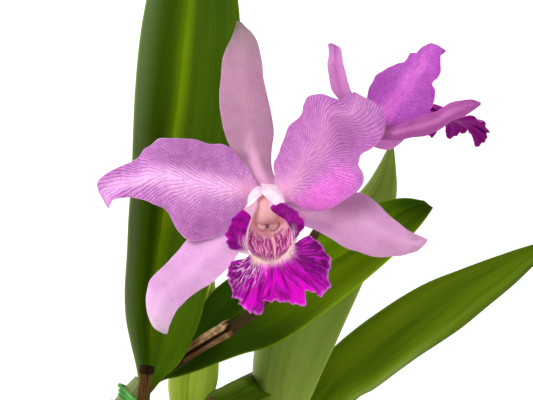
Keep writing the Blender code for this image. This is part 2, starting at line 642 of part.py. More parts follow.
def make_flower_stalk():
    """The stalk to the back flower, with the front flower's own stalk growing out of it."""
    stalk = stem("flower_stalk", FLOWER_STALK, (0.10, 0.06, 0.01), count=26, sides=8)
    pedicel = stem("front_pedicel", FRONT_PEDICEL, GREEN, count=14, sides=8)
    combine(stalk, [pedicel], "UNION")


def make_sheaths():
    """The open papery sheath round the stalk's foot, and the dry stub of an old one."""
    angles = np.linspace(-SHEATH_SPREAD, SHEATH_SPREAD, 9) - math.pi / 2
    steps = 4
    rows = through(FLOWER_STALK, steps * (len(FLOWER_STALK) - 1) + 1)
    rows = rows[round(steps * SHEATH_START) : round(steps * SHEATH_END) + 1]
    rows[:, 3] = np.linspace(SHEATH_FOOT_RADIUS, SHEATH_MOUTH_RADIUS, len(rows))
    sheet("flower_sheath", rings(rows, 8, angles), SHEATH_THICKNESS, (0.55, 0.36, 0.15), 0.8)
    blade("old_sheath", OLD_SHEATH, (0, 0, 0), SHEATH_THICKNESS, (0.30, 0.16, 0.07), along=5)


def make_tepals():
    """The three sepals and two petals of each flower."""
    sepals = (
        ("front_dorsal_sepal", DORSAL_SEPAL, FRONT_HEART, 1, 0.5),
        ("front_left_sepal", LEFT_SEPAL, FRONT_HEART, 1, 0.5),
        ("front_right_sepal", RIGHT_SEPAL, FRONT_HEART, 1, 0.5),
        ("back_dorsal_sepal", BACK_DORSAL_SEPAL, BACK_HEART, 0, 0.0),
        ("back_near_sepal", BACK_NEAR_SEPAL, BACK_HEART, 0, 0.0),
        ("back_far_sepal", BACK_FAR_SEPAL, BACK_HEART, 0, 0.0),
    )
    for name, outline, heart, waves, height in sepals:
        blade(name, outline, heart, SEPAL_THICKNESS, DUSTY_PINK, along=12, waves=waves, height=height)
    petals = (
        ("front_left_petal", LEFT_PETAL, FRONT_HEART, 1.3),
        ("front_right_petal", RIGHT_PETAL, FRONT_HEART, 1.3),
        ("back_near_petal", BACK_NEAR_PETAL, BACK_HEART, 1.0),
        ("back_far_petal", BACK_FAR_PETAL, BACK_HEART, 1.0),
    )
    for name, outline, heart, height in petals:
        blade(name, outline, heart, PETAL_THICKNESS, PINK, along=18, across=6, waves=4, height=height)


def make_lip(name, facing, heart):
    """The lip: rolled round the column, then opening into two side lobes and the frilled front.

    Its last third waves in depth: the frill's height times a sine across it times the square of
    the distance from the middle line.
    """
    along = through([np.ravel(row) for row in LIP], LIP_ALONG).reshape(LIP_ALONG, -1, 3)
    grid = np.stack([through(row, LIP_ACROSS) for row in along])
    t = np.linspace(0, 1, LIP_ALONG)[:, None]
    s = np.linspace(-1, 1, LIP_ACROSS)[None, :]
    frill = np.sin(2 * math.pi * LIP_FRILLS * s + 4 * t) * s**2
    grid[..., 1] += LIP_FRILL_HEIGHT * frill * np.clip(3 * t - 2, 0, 1)
    sheet(name, turned_to_face(grid, facing, heart), LIP_THICKNESS, MAGENTA, 0.45)


def make_flower_centre(prefix, facing, heart):
    """The lip, the column inside it, and the cap over the pollen at the column's tip."""
    make_lip(prefix + "_lip", facing, heart)
    pieces = (
        ("_column", COLUMN, (0.75, 0.60, 0.45), 8),
        ("_anther_cap", ANTHER_CAP, (0.80, 0.70, 0.55), 5),
    )
    for name, rows, colour, count in pieces:
        rows = np.array(rows, float)
        rows[:, :3] = turned_to_face(rows[:, :3], facing, heart)
        stem(prefix + name, rows, colour, count=count, sides=8)


for old in list(bpy.data.objects):
    bpy.data.objects.remove(old)

make_pot()
make_bark()
make_rootstock("rootstock", 0.0)
make_canes()
make_leaves()
make_stake()
make_tie()
make_flower_stalk()
make_sheaths()
make_tepals()
make_flower_centre("front", (0, -1, 0), FRONT_HEART)
make_flower_centre("back", BACK_FACING, BACK_HEART)
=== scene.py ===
"""A cattleya orchid with two flowers, staked in a clay pot: the finish of every piece of it.

Lengths are in millimetres, apart from the lamps', and colours are red, green and blue, 0 to 255.
"""

import math

import bpy
import mathutils
import numpy as np
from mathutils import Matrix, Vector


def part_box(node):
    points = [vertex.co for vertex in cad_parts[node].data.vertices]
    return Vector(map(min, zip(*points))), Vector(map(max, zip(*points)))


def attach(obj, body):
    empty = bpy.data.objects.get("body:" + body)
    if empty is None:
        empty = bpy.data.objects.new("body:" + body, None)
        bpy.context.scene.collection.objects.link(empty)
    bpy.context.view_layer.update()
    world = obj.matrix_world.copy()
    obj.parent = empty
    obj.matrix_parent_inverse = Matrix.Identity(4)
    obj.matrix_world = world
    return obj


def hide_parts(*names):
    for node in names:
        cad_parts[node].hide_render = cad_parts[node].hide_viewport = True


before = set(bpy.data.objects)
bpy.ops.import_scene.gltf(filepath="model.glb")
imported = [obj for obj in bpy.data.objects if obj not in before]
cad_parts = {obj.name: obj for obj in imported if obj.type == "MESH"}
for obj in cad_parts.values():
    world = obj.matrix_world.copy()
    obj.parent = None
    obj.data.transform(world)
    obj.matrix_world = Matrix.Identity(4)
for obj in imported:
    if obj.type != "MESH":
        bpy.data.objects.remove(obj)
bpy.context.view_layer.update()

# The pot
# A plain terracotta pot with a thick band round its rim and four drain holes, turned on a machine
# and fired unglazed: matt orange-brown clay, with pale salts where water has dried on it.
MM = 0.001
FULL_TURN = 2 * math.pi
POT_FLOOR = 6
POT_WALL = 8
POT_EDGE = 1.4
POT_SIDES = 144
DRAIN_HOLES = 4
DRAIN_RADIUS = 5.0
DRAIN_REACH = 22.0
DRAIN_SIDES = 32
DRAIN_DEPTH = 30


class Value:
    """A number or a colour that varies over a surface. Operators on a number add Math nodes."""

    def __init__(self, finish, socket):
        self.finish = finish
        self.socket = socket

    def __add__(self, other):
        return self.finish.maths("ADD", self, other)

    def __sub__(self, other):
        return self.finish.maths("SUBTRACT", self, other)

    def __rsub__(self, other):
        return self.finish.maths("SUBTRACT", other, self)

    def __mul__(self, other):
        return self.finish.maths("MULTIPLY", self, other)

    def __pow__(self, other):
        return self.finish.maths("POWER", self, other)

    def __abs__(self):
        return self.finish.maths("ABSOLUTE", self)

    __radd__ = __add__
    __rmul__ = __mul__

    def rise(self, low, high):
        """0 below low, 1 above high, and a smooth step between them; it falls where low is above high."""
        sockets = {"Value": self, "From Min": low, "From Max": high}
        return self.finish.node("ShaderNodeMapRange", {"interpolation_type": "SMOOTHSTEP"}, sockets)

    def coat(self, share, colour):
        """This colour, with another laid over it that covers the given share of it."""
        return self.finish.mix(share, self, colour)


class Finish:
    """One material. Its node() takes a node's type, its settings and its sockets' values."""

    def __init__(self, name, **constants):
        self.material = bpy.data.materials.new(name)
        self.material.use_nodes = True
        self.tree = self.material.node_tree
        self.shader = self.tree.nodes["Principled BSDF"]
        for socket, value in constants.items():
            self.give(self.shader.inputs[socket.replace("_", " ")], value)

    def give(self, socket, value):
        if isinstance(value, Value):
            self.tree.links.new(value.socket, socket)
        else:
            socket.default_value = value

    def node(self, kind, settings, sockets, out=0):
        made = self.tree.nodes.new(kind)
        for name, value in settings.items():
            setattr(made, name, value)
        for name, value in sockets.items():
            self.give(made.inputs[name], value)
        return Value(self, made.outputs[out])

    def maths(self, operation, *values):
        return self.node("ShaderNodeMath", {"operation": operation}, dict(enumerate(values)))

    def mix(self, share, first, second):
        """Two colours mixed; a fixed one is turned into the linear light that a shader takes."""
        sockets = {0: share, 6: first, 7: second}
        for number in (6, 7):
            if not isinstance(sockets[number], Value):
                levels = ((part, (part / 255 + 0.055) / 1.055) for part in sockets[number])
                light = [curved**2.4 if part > 10 else part / 3294 for part, curved in levels]
                sockets[number] = (*light, 1.0)
        return self.node("ShaderNodeMix", {"data_type": "RGBA"}, sockets, 2)

    def place(self, *parts):
        return self.node("ShaderNodeCombineXYZ", {}, dict(enumerate(parts)))

    def parts(self, place):
        return [self.node("ShaderNodeSeparateXYZ", {}, {0: place}, part) for part in range(3)]

    def spot(self):
        """The place on the object, in millimetres."""
        here = self.node("ShaderNodeTexCoord", {}, {}, "Object")
        return self.node("ShaderNodeVectorMath", {"operation": "SCALE"}, {0: here, "Scale": 1 / MM})

    def laid(self, name):
        """The place on a piece's own map, as separate numbers."""
        return self.parts(self.node("ShaderNodeUVMap", {"uv_map": name}, {}))[:2]

    def noise(self, place, scale, detail=2.0, roughness=0.5, distortion=0.0):
        sockets = {"Vector": place, "Scale": scale, "Detail": detail, "Roughness": roughness}
        return self.node("ShaderNodeTexNoise", {}, sockets | {"Distortion": distortion}, "Fac")

    def fibre(self, across, along, detail, roughness=0.5, level=0.0):
        """Noise that is drawn out by the scales of the two numbers of a piece's own map."""
        return self.noise(self.place(across, along, level), 1.0, detail, roughness)

    def surface(self, colour, roughness, height, depth):
        """Joins the varying colour, roughness and relief to the shader; depth is the relief's."""
        self.give(self.shader.inputs["Base Color"], colour)
        self.give(self.shader.inputs["Roughness"], roughness)
        relief = self.node("ShaderNodeBump", {}, {"Height": height, "Distance": depth * MM}, "Normal")
        self.give(self.shader.inputs["Normal"], relief)
        return self.material


def triangles(rows, columns):
    """The two triangles of every cell of a grid, as numbers of its points, row by row."""
    number = np.arange(rows * columns).reshape(rows, columns)
    corners = number[:-1, :-1], number[:-1, 1:], number[1:, 1:], number[1:, :-1]
    a, b, c, d = (corner.ravel() for corner in corners)
    return np.concatenate([np.stack([a, b, c], 1), np.stack([a, c, d], 1)])


def seam(rows, columns, ring=False):
    """The weld of a grid that closes round, so that its last column is one with its first. Its first
    row and its last are each one point, or, in a ring, one with each other."""
    number = np.arange(rows * columns).reshape(rows, columns)
    number[:, -1] = number[:, 0]
    if ring:
        number[-1] = number[0]
    else:
        number[[0, -1]] = number[[0, -1], :1]
    return number.ravel()


def solid(grid, way=1, ring=False, along=None):
    """A closed solid from a grid that closes round; way -1 turns its faces over. A solid is given
    as points, triangles, weld and maps."""
    maps = {} if along is None else {"along": along.reshape(-1, 2)}
    rows, columns = grid.shape[:2]
    return grid.reshape(-1, 3), triangles(rows, columns)[:, ::way], seam(rows, columns, ring), maps


def turned(outline, sides):
    """A solid turned on a lathe: each point of the outline (distance from the axis, height) goes round
    the axis. The outline starts and ends on it."""
    angles = np.linspace(0, FULL_TURN, sides + 1)
    across, height = np.split(np.asarray(outline, float), 2, axis=1)
    ring = np.broadcast_arrays(across * np.cos(angles), across * np.sin(angles), height)
    return solid(np.stack(ring, 2))


def piece(name, solids, finish, stands_for=(), behind=None):
    """A smooth piece that rides on the plant, made of one or more solids.

    A weld gives each point the number of the point that it is one with. Triangles that this
    closes up, and points that no triangle uses, are left out.
    """
    starts = np.cumsum([0] + [len(points) for points, *_ in solids])
    points = np.concatenate([part[0] for part in solids])
    faces = np.concatenate([part[1] + start for part, start in zip(solids, starts)])
    weld = np.concatenate([part[2] + start for part, start in zip(solids, starts)])
    joined = weld[faces]
    whole = np.all(joined != np.roll(joined, 1, axis=1), axis=1)
    used, corners = np.unique(joined[whole], return_inverse=True)
    mesh = bpy.data.meshes.new(name)
    mesh.vertices.add(len(used))
    mesh.vertices.foreach_set("co", (points[used] * MM).astype(np.float32).ravel())
    mesh.loops.add(corners.size)
    mesh.loops.foreach_set("vertex_index", corners.astype(np.int32).ravel())
    mesh.polygons.add(corners.size // 3)
    mesh.polygons.foreach_set("loop_start", np.arange(0, corners.size, 3, dtype=np.int32))
    for layer in solids[0][3]:
        laid = np.concatenate([part[3][layer] for part in solids])[faces[whole]]
        mesh.uv_layers.new(name=layer).data.foreach_set("uv", laid.astype(np.float32).ravel())
    if behind is not None:
        side = mesh.attributes.new("behind", "FLOAT", "POINT")
        side.data.foreach_set("value", behind.ravel()[used].astype(np.float32))
    mesh.update(calc_edges=True)
    mesh.shade_smooth()
    mesh.materials.append(finish)
    made = bpy.data.objects.new(name, mesh)
    bpy.context.scene.collection.objects.link(made)
    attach(made, "root")
    if stands_for:
        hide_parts(*stands_for)
    return made


def rounded(corners, radius):
    """A broken line with its inner corners rounded: each is a Bezier curve that starts and ends a
    radius away from the corner, and bends toward it."""
    corners = np.array(corners, float)
    before, here, after = corners[:-2], corners[1:-1], corners[2:]
    ways = before - here, after - here
    enter, leave = (here + radius * way / np.linalg.norm(way, axis=1)[:, None] for way in ways)
    t = np.linspace(0, 1, 7)[None, :, None]
    bends = (1 - t) ** 2 * enter[:, None] + 2 * t * (1 - t) * here[:, None] + t**2 * leave[:, None]
    return np.vstack([corners[:1], bends.reshape(-1, 2), corners[-1:]])


pot_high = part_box("pot")[1]
pot_height = pot_high.z / MM
rim = pot_high.x / MM
clay = Finish("terracotta")
here = clay.spot()
up = clay.parts(here)[2]
grain = clay.noise(here, 0.9, 6.0, 0.65)
salts = clay.noise(here, 0.055, 4.0, 0.6, 0.6).rise(0.5, 0.72) * up.rise(95, 20)
lines = clay.noise(clay.place(0.0, 0.0, up), 1.3, 2.0)
tone = clay.mix(clay.noise(here, 0.03, 3.0), (176, 98, 62), (203, 124, 84))
tone = tone.coat(salts * 0.75, (226, 208, 188))
tone = tone.coat(grain.rise(0.62, 0.8) * 0.5, (128, 66, 42))
clay_finish = clay.surface(tone, 0.82 + grain * 0.14, grain * 0.5 + lines * 0.5, 0.35)
outline = (
    (4, 0), (0.72 * rim, 0), (0.915 * rim, 0.83 * pot_height), (rim, 0.838 * pot_height),
    (rim, pot_height), (rim - POT_WALL, pot_height), (0.645 * rim, POT_FLOOR), (4, POT_FLOOR),
)
outline = np.vstack([[(0, 0)], rounded(outline, POT_EDGE), [(0, POT_FLOOR)]])
pot = piece("clay_pot", [turned(outline, POT_SIDES)], clay_finish, ["pot"])
for number in range(DRAIN_HOLES):
    bearing = FULL_TURN * (number + 0.5) / DRAIN_HOLES
    hole = (DRAIN_REACH * math.cos(bearing) * MM, DRAIN_REACH * math.sin(bearing) * MM, 0.0)
    bpy.ops.mesh.primitive_cylinder_add(
        vertices=DRAIN_SIDES, radius=DRAIN_RADIUS * MM, depth=DRAIN_DEPTH * MM, location=hole
    )
    cutter = bpy.context.object
    cut = pot.modifiers.new("drain", "BOOLEAN")
    cut.object = cutter
    cut.operation = "DIFFERENCE"
    bpy.context.view_layer.objects.active = pot
    bpy.ops.object.modifier_apply(modifier=cut.name)
    bpy.data.objects.remove(cutter)

# The bark
# Graded chips of pine bark, the airy mix that an orchid's roots grow in. The chips lie loose on
# each other, split along their layers, dark red-brown inside and grey where they have weathered.
CHIPS = 230
CHIP_GRID = 9
CHIP_ROUGHNESS = 0.16
CHIP_SIZES = ((4.5, 8), (3, 5.2), (1.8, 3.2))
CHIP_MIDDLE = 90.6
CHIP_REACH = 43.5
BED_OUTLINE = ((0, 7), (39, 7), (50, 84), (47, 88), (0, 88))
chance = np.random.default_rng(7)


def chip_blocks(sizes, middles, turns):
    """Rough blocks: a cube's grid drawn out to a rounded box, with its surface pushed in and out by
    sines of place, then sized, turned and moved. All blocks are made at once, as one array."""
    side = np.linspace(-1, 1, CHIP_GRID)
    u, v = np.meshgrid(side, side, indexing="ij")
    one = np.ones_like(u)
    walls = [(u, v, one), (v, u, -one), (one, u, v), (-one, v, u), (v, one, u), (u, -one, v)]
    cube = np.stack([np.stack(wall, -1) for wall in walls])
    swell = cube / (np.abs(cube) ** 6).sum(-1, keepdims=True) ** (1 / 6)
    blocks = np.broadcast_to(swell, (CHIPS, *swell.shape)).copy()
    phase = chance.uniform(0, 6.3, (CHIPS, 1, 1, 1, 3))
    waves = np.sin(3.1 * blocks[..., [1, 2, 0]] + phase) * np.sin(5.3 * blocks[..., [2, 0, 1]] + 2 * phase)
    blocks = (blocks + CHIP_ROUGHNESS * waves) * sizes[:, None, None, None]
    return np.einsum("nijkc,ndc->nijkd", blocks, turns) + middles[:, None, None, None]


def turned_about(tilt, bearing):
    """Matrices that tilt about X and then turn about Z."""
    zero, one = np.zeros_like(tilt), np.ones_like(tilt)
    sin, cos = np.sin(tilt), np.cos(tilt)
    lean = np.array([[one, zero, zero], [zero, cos, -sin], [zero, sin, cos]])
    sin, cos = np.sin(bearing), np.cos(bearing)
    spin = np.array([[cos, -sin, zero], [sin, cos, zero], [zero, zero, one]])
    return np.einsum("ijn,jkn->nik", spin, lean)


bark = Finish("pine_bark")
here = bark.spot()
flake = bark.noise(here, 0.22, 6.0, 0.6, 0.4)
flat = bark.node("ShaderNodeMapping", {}, {"Vector": here, "Scale": (1.0, 0.25, 3.0)})
layers = bark.noise(flat, 1.1, 5.0, 0.7)
tone = bark.mix(flake.rise(0.35, 0.65), (74, 40, 22), (142, 90, 56))
tone = tone.coat(layers.rise(0.5, 0.75) * 0.7, (171, 134, 102))
tone = tone.coat(layers.rise(0.45, 0.25) * 0.8, (40, 22, 14))
bark_finish = bark.surface(tone, 0.85 + flake * 0.12, layers * 0.6 + flake * 0.4, 0.8)
order = np.arange(CHIPS)
bearing = math.pi * (3 - math.sqrt(5)) * order
reach = CHIP_REACH * np.sqrt((order + 0.5) / CHIPS)
level = CHIP_MIDDLE + chance.uniform(-1.6, 2.4, CHIPS)
middles = np.stack([reach * np.cos(bearing), reach * np.sin(bearing), level], 1)
sizes = np.stack([chance.uniform(*span, CHIPS) for span in CHIP_SIZES], 1)
turns = turned_about(chance.uniform(-0.5, 0.5, CHIPS), chance.uniform(0, math.pi, CHIPS))
chips = chip_blocks(sizes, middles, turns).reshape(-1, 3)
starts = np.arange(0, len(chips), CHIP_GRID**2)[:, None, None]
chip_faces = (triangles(CHIP_GRID, CHIP_GRID) + starts).reshape(-1, 3)
_, first, same = np.unique(np.round(chips, 4), axis=0, return_index=True, return_inverse=True)
bed = turned(BED_OUTLINE, 64)
piece("bark_chips", [(chips, chip_faces, first[same.ravel()], {}), bed], bark_finish, ["bark"])

# The rootstock and its roots
# The creeping stem that joins the canes, woody and scaly, with a foot under each cane. Its roots
# are round and silvery: a spongy white skin over green, which browns where it dives into the bark.
CANE_FEET = ((-18.6, 8), (-2, 15), (32.8, 20))
ROOTS = (
    ((-26, 5), (-37, 16)), ((-14, 10), (-12, -7)), ((-9, 12), (-19, 27)), ((6, 17), (7, 1)),
    ((11, 18), (3, 34)), ((23, 20), (24, 4)), ((38, 19), (43, 4)), ((39, 18.5), (36, 31)),
)
# A root's course: the share of the way from its start to its end, its height and its radius.
ROOT_COURSE = ((0, 99.5, 2.0), (0.45, 101, 2.0), (0.92, 97, 2.0), (1, 89, 1.6))
# A row of a stem, here and for the canes and the stalk, is its middle x, y, z and its radius.
ROOTSTOCK = (
    (-31, 3, 99.5, 3.6), (-18.6, 8, 99.5, 4.6), (-2, 15, 99.5, 4.6),
    (15, 19, 99.5, 4.6), (32.8, 20, 99.5, 4.6), (43, 18, 99.5, 3.4),
)


def through(rows, count):
    """Rows at even steps on the smooth curve that passes through the given rows, value by value: each
    span is a cubic whose slope at a row is half the step between that row's neighbours."""
    rows = np.array(rows, float)
    ends = np.concatenate([2 * rows[:1] - rows[1:2], rows, 2 * rows[-1:] - rows[-2:-1]])
    place = np.linspace(0, len(rows) - 1, count)
    index = np.minimum(place.astype(int), len(rows) - 2)
    t = (place - index).reshape(-1, *[1] * (rows.ndim - 1))
    a, b, c, d = (ends[index + k] for k in range(4))
    square, cube = 2 * a - 5 * b + 4 * c - d, 3 * b - a - 3 * c + d
    return 0.5 * (2 * b + (c - a) * t + square * t**2 + cube * t**3)


def unit(vectors):
    return vectors / np.maximum(np.linalg.norm(vectors, axis=-1, keepdims=True), 1e-9)


def far_along(path):
    """The distance along a path to each of its places."""
    return np.concatenate([[0], np.cumsum(np.linalg.norm(np.diff(path, axis=0), axis=1))])


def round_path(path, radius, angles):
    """Points round a path: at each of its places a ring square to it, of the radius given for each
    place and angle. The rings' first direction lies square to the plane that the path is nearest to."""
    ahead = unit(np.gradient(path, axis=0))
    plane = np.linalg.svd(path - path.mean(axis=0))[2][-1]
    second = unit(np.cross(ahead, plane))
    first = np.cross(second, ahead)
    out = first[:, None] * np.cos(angles)[:, None] + second[:, None] * np.sin(angles)[:, None]
    return path[:, None] + radius[..., None] * out


def rod(path, radius, sides=24):
    """A round solid along a path, closed at both ends: the end rings draw in to their middles. Its
    map runs round it in turns, and along it."""
    angles = np.linspace(0, FULL_TURN, sides + 1)
    radius = np.broadcast_to(np.asarray(radius, float).reshape(len(path), -1), (len(path), sides + 1))
    grid = round_path(path, radius, angles)
    ends = np.repeat(grid[[0, -1], :-1].mean(axis=1, keepdims=True), sides + 1, axis=1)
    run = np.pad(far_along(path), 1, mode="edge")
    along = np.stack(np.broadcast_arrays(angles / FULL_TURN, run[:, None]), 2)
    return solid(np.concatenate([ends[:1], grid, ends[1:]]), along=along)


root = Finish("root_skin")
here = root.spot()
silver = root.noise(here, 0.5, 5.0, 0.6)
tone = root.mix(silver.rise(0.35, 0.7), (122, 134, 84), (192, 194, 172))
tone = tone.coat(root.parts(here)[2].rise(98, 91), (120, 88, 56))
tone = tone.coat(root.noise(here, 1.6, 3.0).rise(0.6, 0.75) * 0.5, (96, 84, 52))
root_finish = root.surface(tone, 0.62 + silver * 0.3, silver, 0.3)
stem = through(ROOTSTOCK, 90)
scales = 1 + 0.05 * np.sin(np.linspace(0, 26 * math.pi, 90)) ** 6
root_parts = [rod(stem[:, :3], stem[:, 3] * scales)]
for (x0, y0), (x1, y1) in ROOTS:
    course = [(x0 + t * (x1 - x0), y0 + t * (y1 - y0), z, radius) for t, z, radius in ROOT_COURSE]
    stem = through(course, 40)
    knobs = 1 + 0.06 * np.sin(np.linspace(0, 9, 40) + x0)
    root_parts.append(rod(stem[:, :3], stem[:, 3] * knobs))
for x, y in CANE_FEET:
    foot = through(((x, y, 98.0, 4.9), (x, y, 102.0, 4.7), (x, y, 105.9, 4.5)), 12)
    root_parts.append(rod(foot[:, :3], foot[:, 3]))
piece("rootstock_and_roots", root_parts, root_finish, ["rootstock"])

# The canes
# Three upright stems, each a season's growth: fleshy, ribbed as they dry, narrow at the foot and
# jointed by rings, with the dry papery skins of their sheaths still clasping the lower joints.
FRONT_CANE = (
    (-18.6, 8, 106.4, 4.6), (-19.2, 8, 112, 4.8), (-27, 7.8, 128, 6.6), (-36, 7, 148, 7.8),
    (-38.6, 6, 168, 7.6), (-35.5, 5, 184, 6.4), (-29.5, 4.7, 194.5, 5.0), (-25, 4.5, 200.5, 4.2),
)
MIDDLE_CANE = (
    (-2, 15, 106.4, 4.6), (-2, 15, 112, 5.2), (-2.5, 17, 130, 7.4), (-2.5, 20, 150, 7.0), (-2, 22, 170, 4.4),
)
REAR_CANE = (
    (32.8, 20, 106.4, 4.6), (32.8, 20, 112, 5.0), (33.5, 23, 126, 7.0), (34.5, 28, 145, 6.8),
    (34.5, 31.5, 163, 4.4),
)
CANE_STEPS = 150
CANE_SIDES = 48
CANE_RIBS = 9
SKIN_REACHES = (0.2, 0.17, 0.1)
SKIN_THICKNESS = 0.35
cane = Finish("cane_skin")
here = cane.spot()
around, length = cane.laid("along")
streak = cane.fibre(around * 34.0, length * 0.05, 4.0, 0.6)
blotch_and_side_light = cane.noise(here, 0.12, 3.0)
tone = cane.mix(streak.rise(0.3, 0.7), (88, 100, 40), (132, 140, 70))
tone = tone.coat(blotch_and_side_light.rise(0.45, 0.7) * 0.5, (120, 96, 52))
tone = tone.coat(cane.noise(here, 1.4, 2.0).rise(0.66, 0.74) * 0.6, (70, 52, 26))
cane_finish = cane.surface(tone, 0.42 + streak * 0.2, streak, 0.25)
skin = Finish("dry_sheath_skin")
here = skin.spot()
around, length = skin.laid("along")
fibre = skin.fibre(around * 60.0, length * 0.04, 4.0, 0.7)
tone = skin.mix(fibre.rise(0.35, 0.7), (158, 134, 96), (214, 200, 168))
tone = tone.coat(skin.noise(here, 0.25, 4.0).rise(0.5, 0.7) * 0.6, (118, 84, 52))
skin_finish = skin.surface(tone, 0.75, fibre, 0.3)


def joint_rings(t, joints, height, width):
    """A ring round a stem at each joint, where t is the share of the way along: bell curves of t."""
    return sum(height * np.exp(-(((t - joint) / width) ** 2)) for joint in joints)


def dry_skin(stem, joint, reach):
    """A torn skin round the part of a stem that starts at a joint and runs on by reach. The skin's
    own rows are stem rows, each place taken part way between two; it is longer where it is less torn."""
    first, last = int(joint * CANE_STEPS), min(int((joint + reach) * CANE_STEPS), CANE_STEPS - 1)
    steps, path = last - first, stem[first:last, :3]
    share = np.linspace(0, 1, steps)[:, None]
    angles = np.linspace(0, FULL_TURN, CANE_SIDES + 1)
    torn = np.clip(1.1 - 0.35 * np.sin(3 * angles + 9 * joint) - 0.2 * np.sin(7 * angles), 0.2, 1.0)
    place = np.clip(share * torn * (steps - 1), 0, steps - 1.001)
    low = place.astype(int)
    over = place - low
    radius = stem[first:last, 3][low] + over * (stem[first:last, 3][low + 1] - stem[first:last, 3][low])
    radius = radius * (1.03 + 0.02 * np.sin(CANE_RIBS * angles)) + 0.5 + 0.5 * share**2
    full = round_path(path, radius, angles)
    side = np.arange(CANE_SIDES + 1)
    outer = full[low, side] + over[..., None] * (full[low + 1, side] - full[low, side])
    middle = path[low] + over[..., None] * (path[low + 1] - path[low])
    inner = outer + SKIN_THICKNESS * unit(middle - outer)
    along = np.stack(np.broadcast_arrays(angles / FULL_TURN, 30 * share * torn), 2)
    there_and_back = np.concatenate([outer, inner[::-1], outer[:1]])
    return solid(there_and_back, -1, True, np.concatenate([along, along[::-1], along[:1]]))


for name, rows, joints in (
    ("front_cane", FRONT_CANE, (0.16, 0.42, 0.68)),
    ("middle_cane", MIDDLE_CANE, (0.2, 0.55, 0.85)),
    ("rear_cane", REAR_CANE, (0.2, 0.55, 0.85)),
):
    stem = through(rows, CANE_STEPS)
    t = np.linspace(0, 1, CANE_STEPS)[:, None]
    angles = np.linspace(0, FULL_TURN, CANE_SIDES + 1)
    ribs = 1 - 0.035 * np.abs(np.sin(CANE_RIBS / 2 * angles + 2 * t)) * np.sin(math.pi * t)
    swell = ribs + joint_rings(t, joints, 0.07, 0.012) + joint_rings(t, joints, -0.03, 0.05)
    solids = [rod(stem[:, :3], stem[:, 3:] * swell, CANE_SIDES)]
    piece(name + "_stem", solids, cane_finish, [name])
    skins = [dry_skin(stem, joint, reach) for joint, reach in zip(joints, SKIN_REACHES)]
    piece(name + "_dry_skins", skins, skin_finish)

# The stake, its ring and the tie
# A weathered garden cane pushed into the bark beside the front cane: split grey-brown grain, with
# a dark ring bound round its top. A soft green tie of three strands goes round it and the cane.
STAKE_FOOT = (-35, -14, 80)
STAKE_TOP = (-22, -14, 207)
STAKE_RADIUS = 2.7
STAKE_STEPS = 120
STAKE_SIDES = 48
STAKE_RING = ((-21.9, -14, 206.4), (-21.6, -14, 209.6))
RING_RADIUS = 3.3
RING_STEPS = 30
TIE_LEVEL = 195.5
TIE_RADIUS = 0.9
TIE_SLOPE = 0.45
TIE_STRANDS = ((-2.9, 0.2), (-0.9, 0.0), (0.9, 0.3))
TIED_CANE = (-29.6, 4.7)
TIED_CANE_RADIUS = 4.4
wood = Finish("weathered_stake", Specular_IOR_Level=0.05)
around, length = wood.laid("along")
grain = wood.fibre(around * 26.0, length * 0.06, 5.0, 0.7)
fine = wood.fibre(around * 90.0, length * 0.12, 3.0, 0.6)
tone = wood.mix(grain.rise(0.32, 0.68), (24, 14, 2), (98, 70, 30))
tone = tone.coat(fine.rise(0.55, 0.7) * 0.6, (152, 114, 64))
tone = tone.coat(fine.rise(0.42, 0.3) * 0.7, (38, 22, 12))
wood_finish = wood.surface(tone, 0.72 + fine * 0.2, grain * 0.5 + fine * 0.5, 0.5)
angles = np.linspace(0, FULL_TURN, STAKE_SIDES + 1)
t = np.linspace(0, 1, STAKE_STEPS)[:, None]
split = 1 - 0.035 * np.abs(np.sin(5.5 * angles + 3 * np.sin(2 * t))) + 0.02 * np.sin(13 * angles)
split = split + joint_rings(t, (0.45, 0.82), 0.1, 0.008)
stake = rod(np.linspace(STAKE_FOOT, STAKE_TOP, STAKE_STEPS), STAKE_RADIUS * split, STAKE_SIDES)
piece("garden_stake", [stake], wood_finish, ["stake"])
collar = Finish("stake_ring_wood", Specular_IOR_Level=0.05)
around, length = collar.laid("along")
grain = collar.fibre(around * 30.0, length * 0.2, 4.0, 0.7)
tone = collar.mix(grain.rise(0.35, 0.7), (8, 3, 0), (50, 32, 8))
collar_finish = collar.surface(tone, 0.6 + grain * 0.25, grain, 0.4)
s = np.linspace(-1, 1, RING_STEPS)[:, None]
split = 1 - 0.03 * np.abs(np.sin(5.5 * angles)) - 0.10 * np.abs(s) ** 8
ring = rod(np.linspace(*STAKE_RING, RING_STEPS), RING_RADIUS * split, STAKE_SIDES)
piece("stake_top_ring", [ring], collar_finish, ["stake_ring"])

strand = Finish("soft_green_tie", Specular_IOR_Level=0.1)
around, length = strand.laid("along")
twist = strand.fibre(around * 6.0 + length * 1.2, length * 0.3, 3.0)
tone = strand.mix(twist.rise(0.35, 0.65), (10, 84, 20), (92, 176, 66))
strand_finish = strand.surface(tone, 0.45 + twist * 0.2, twist, 0.3)


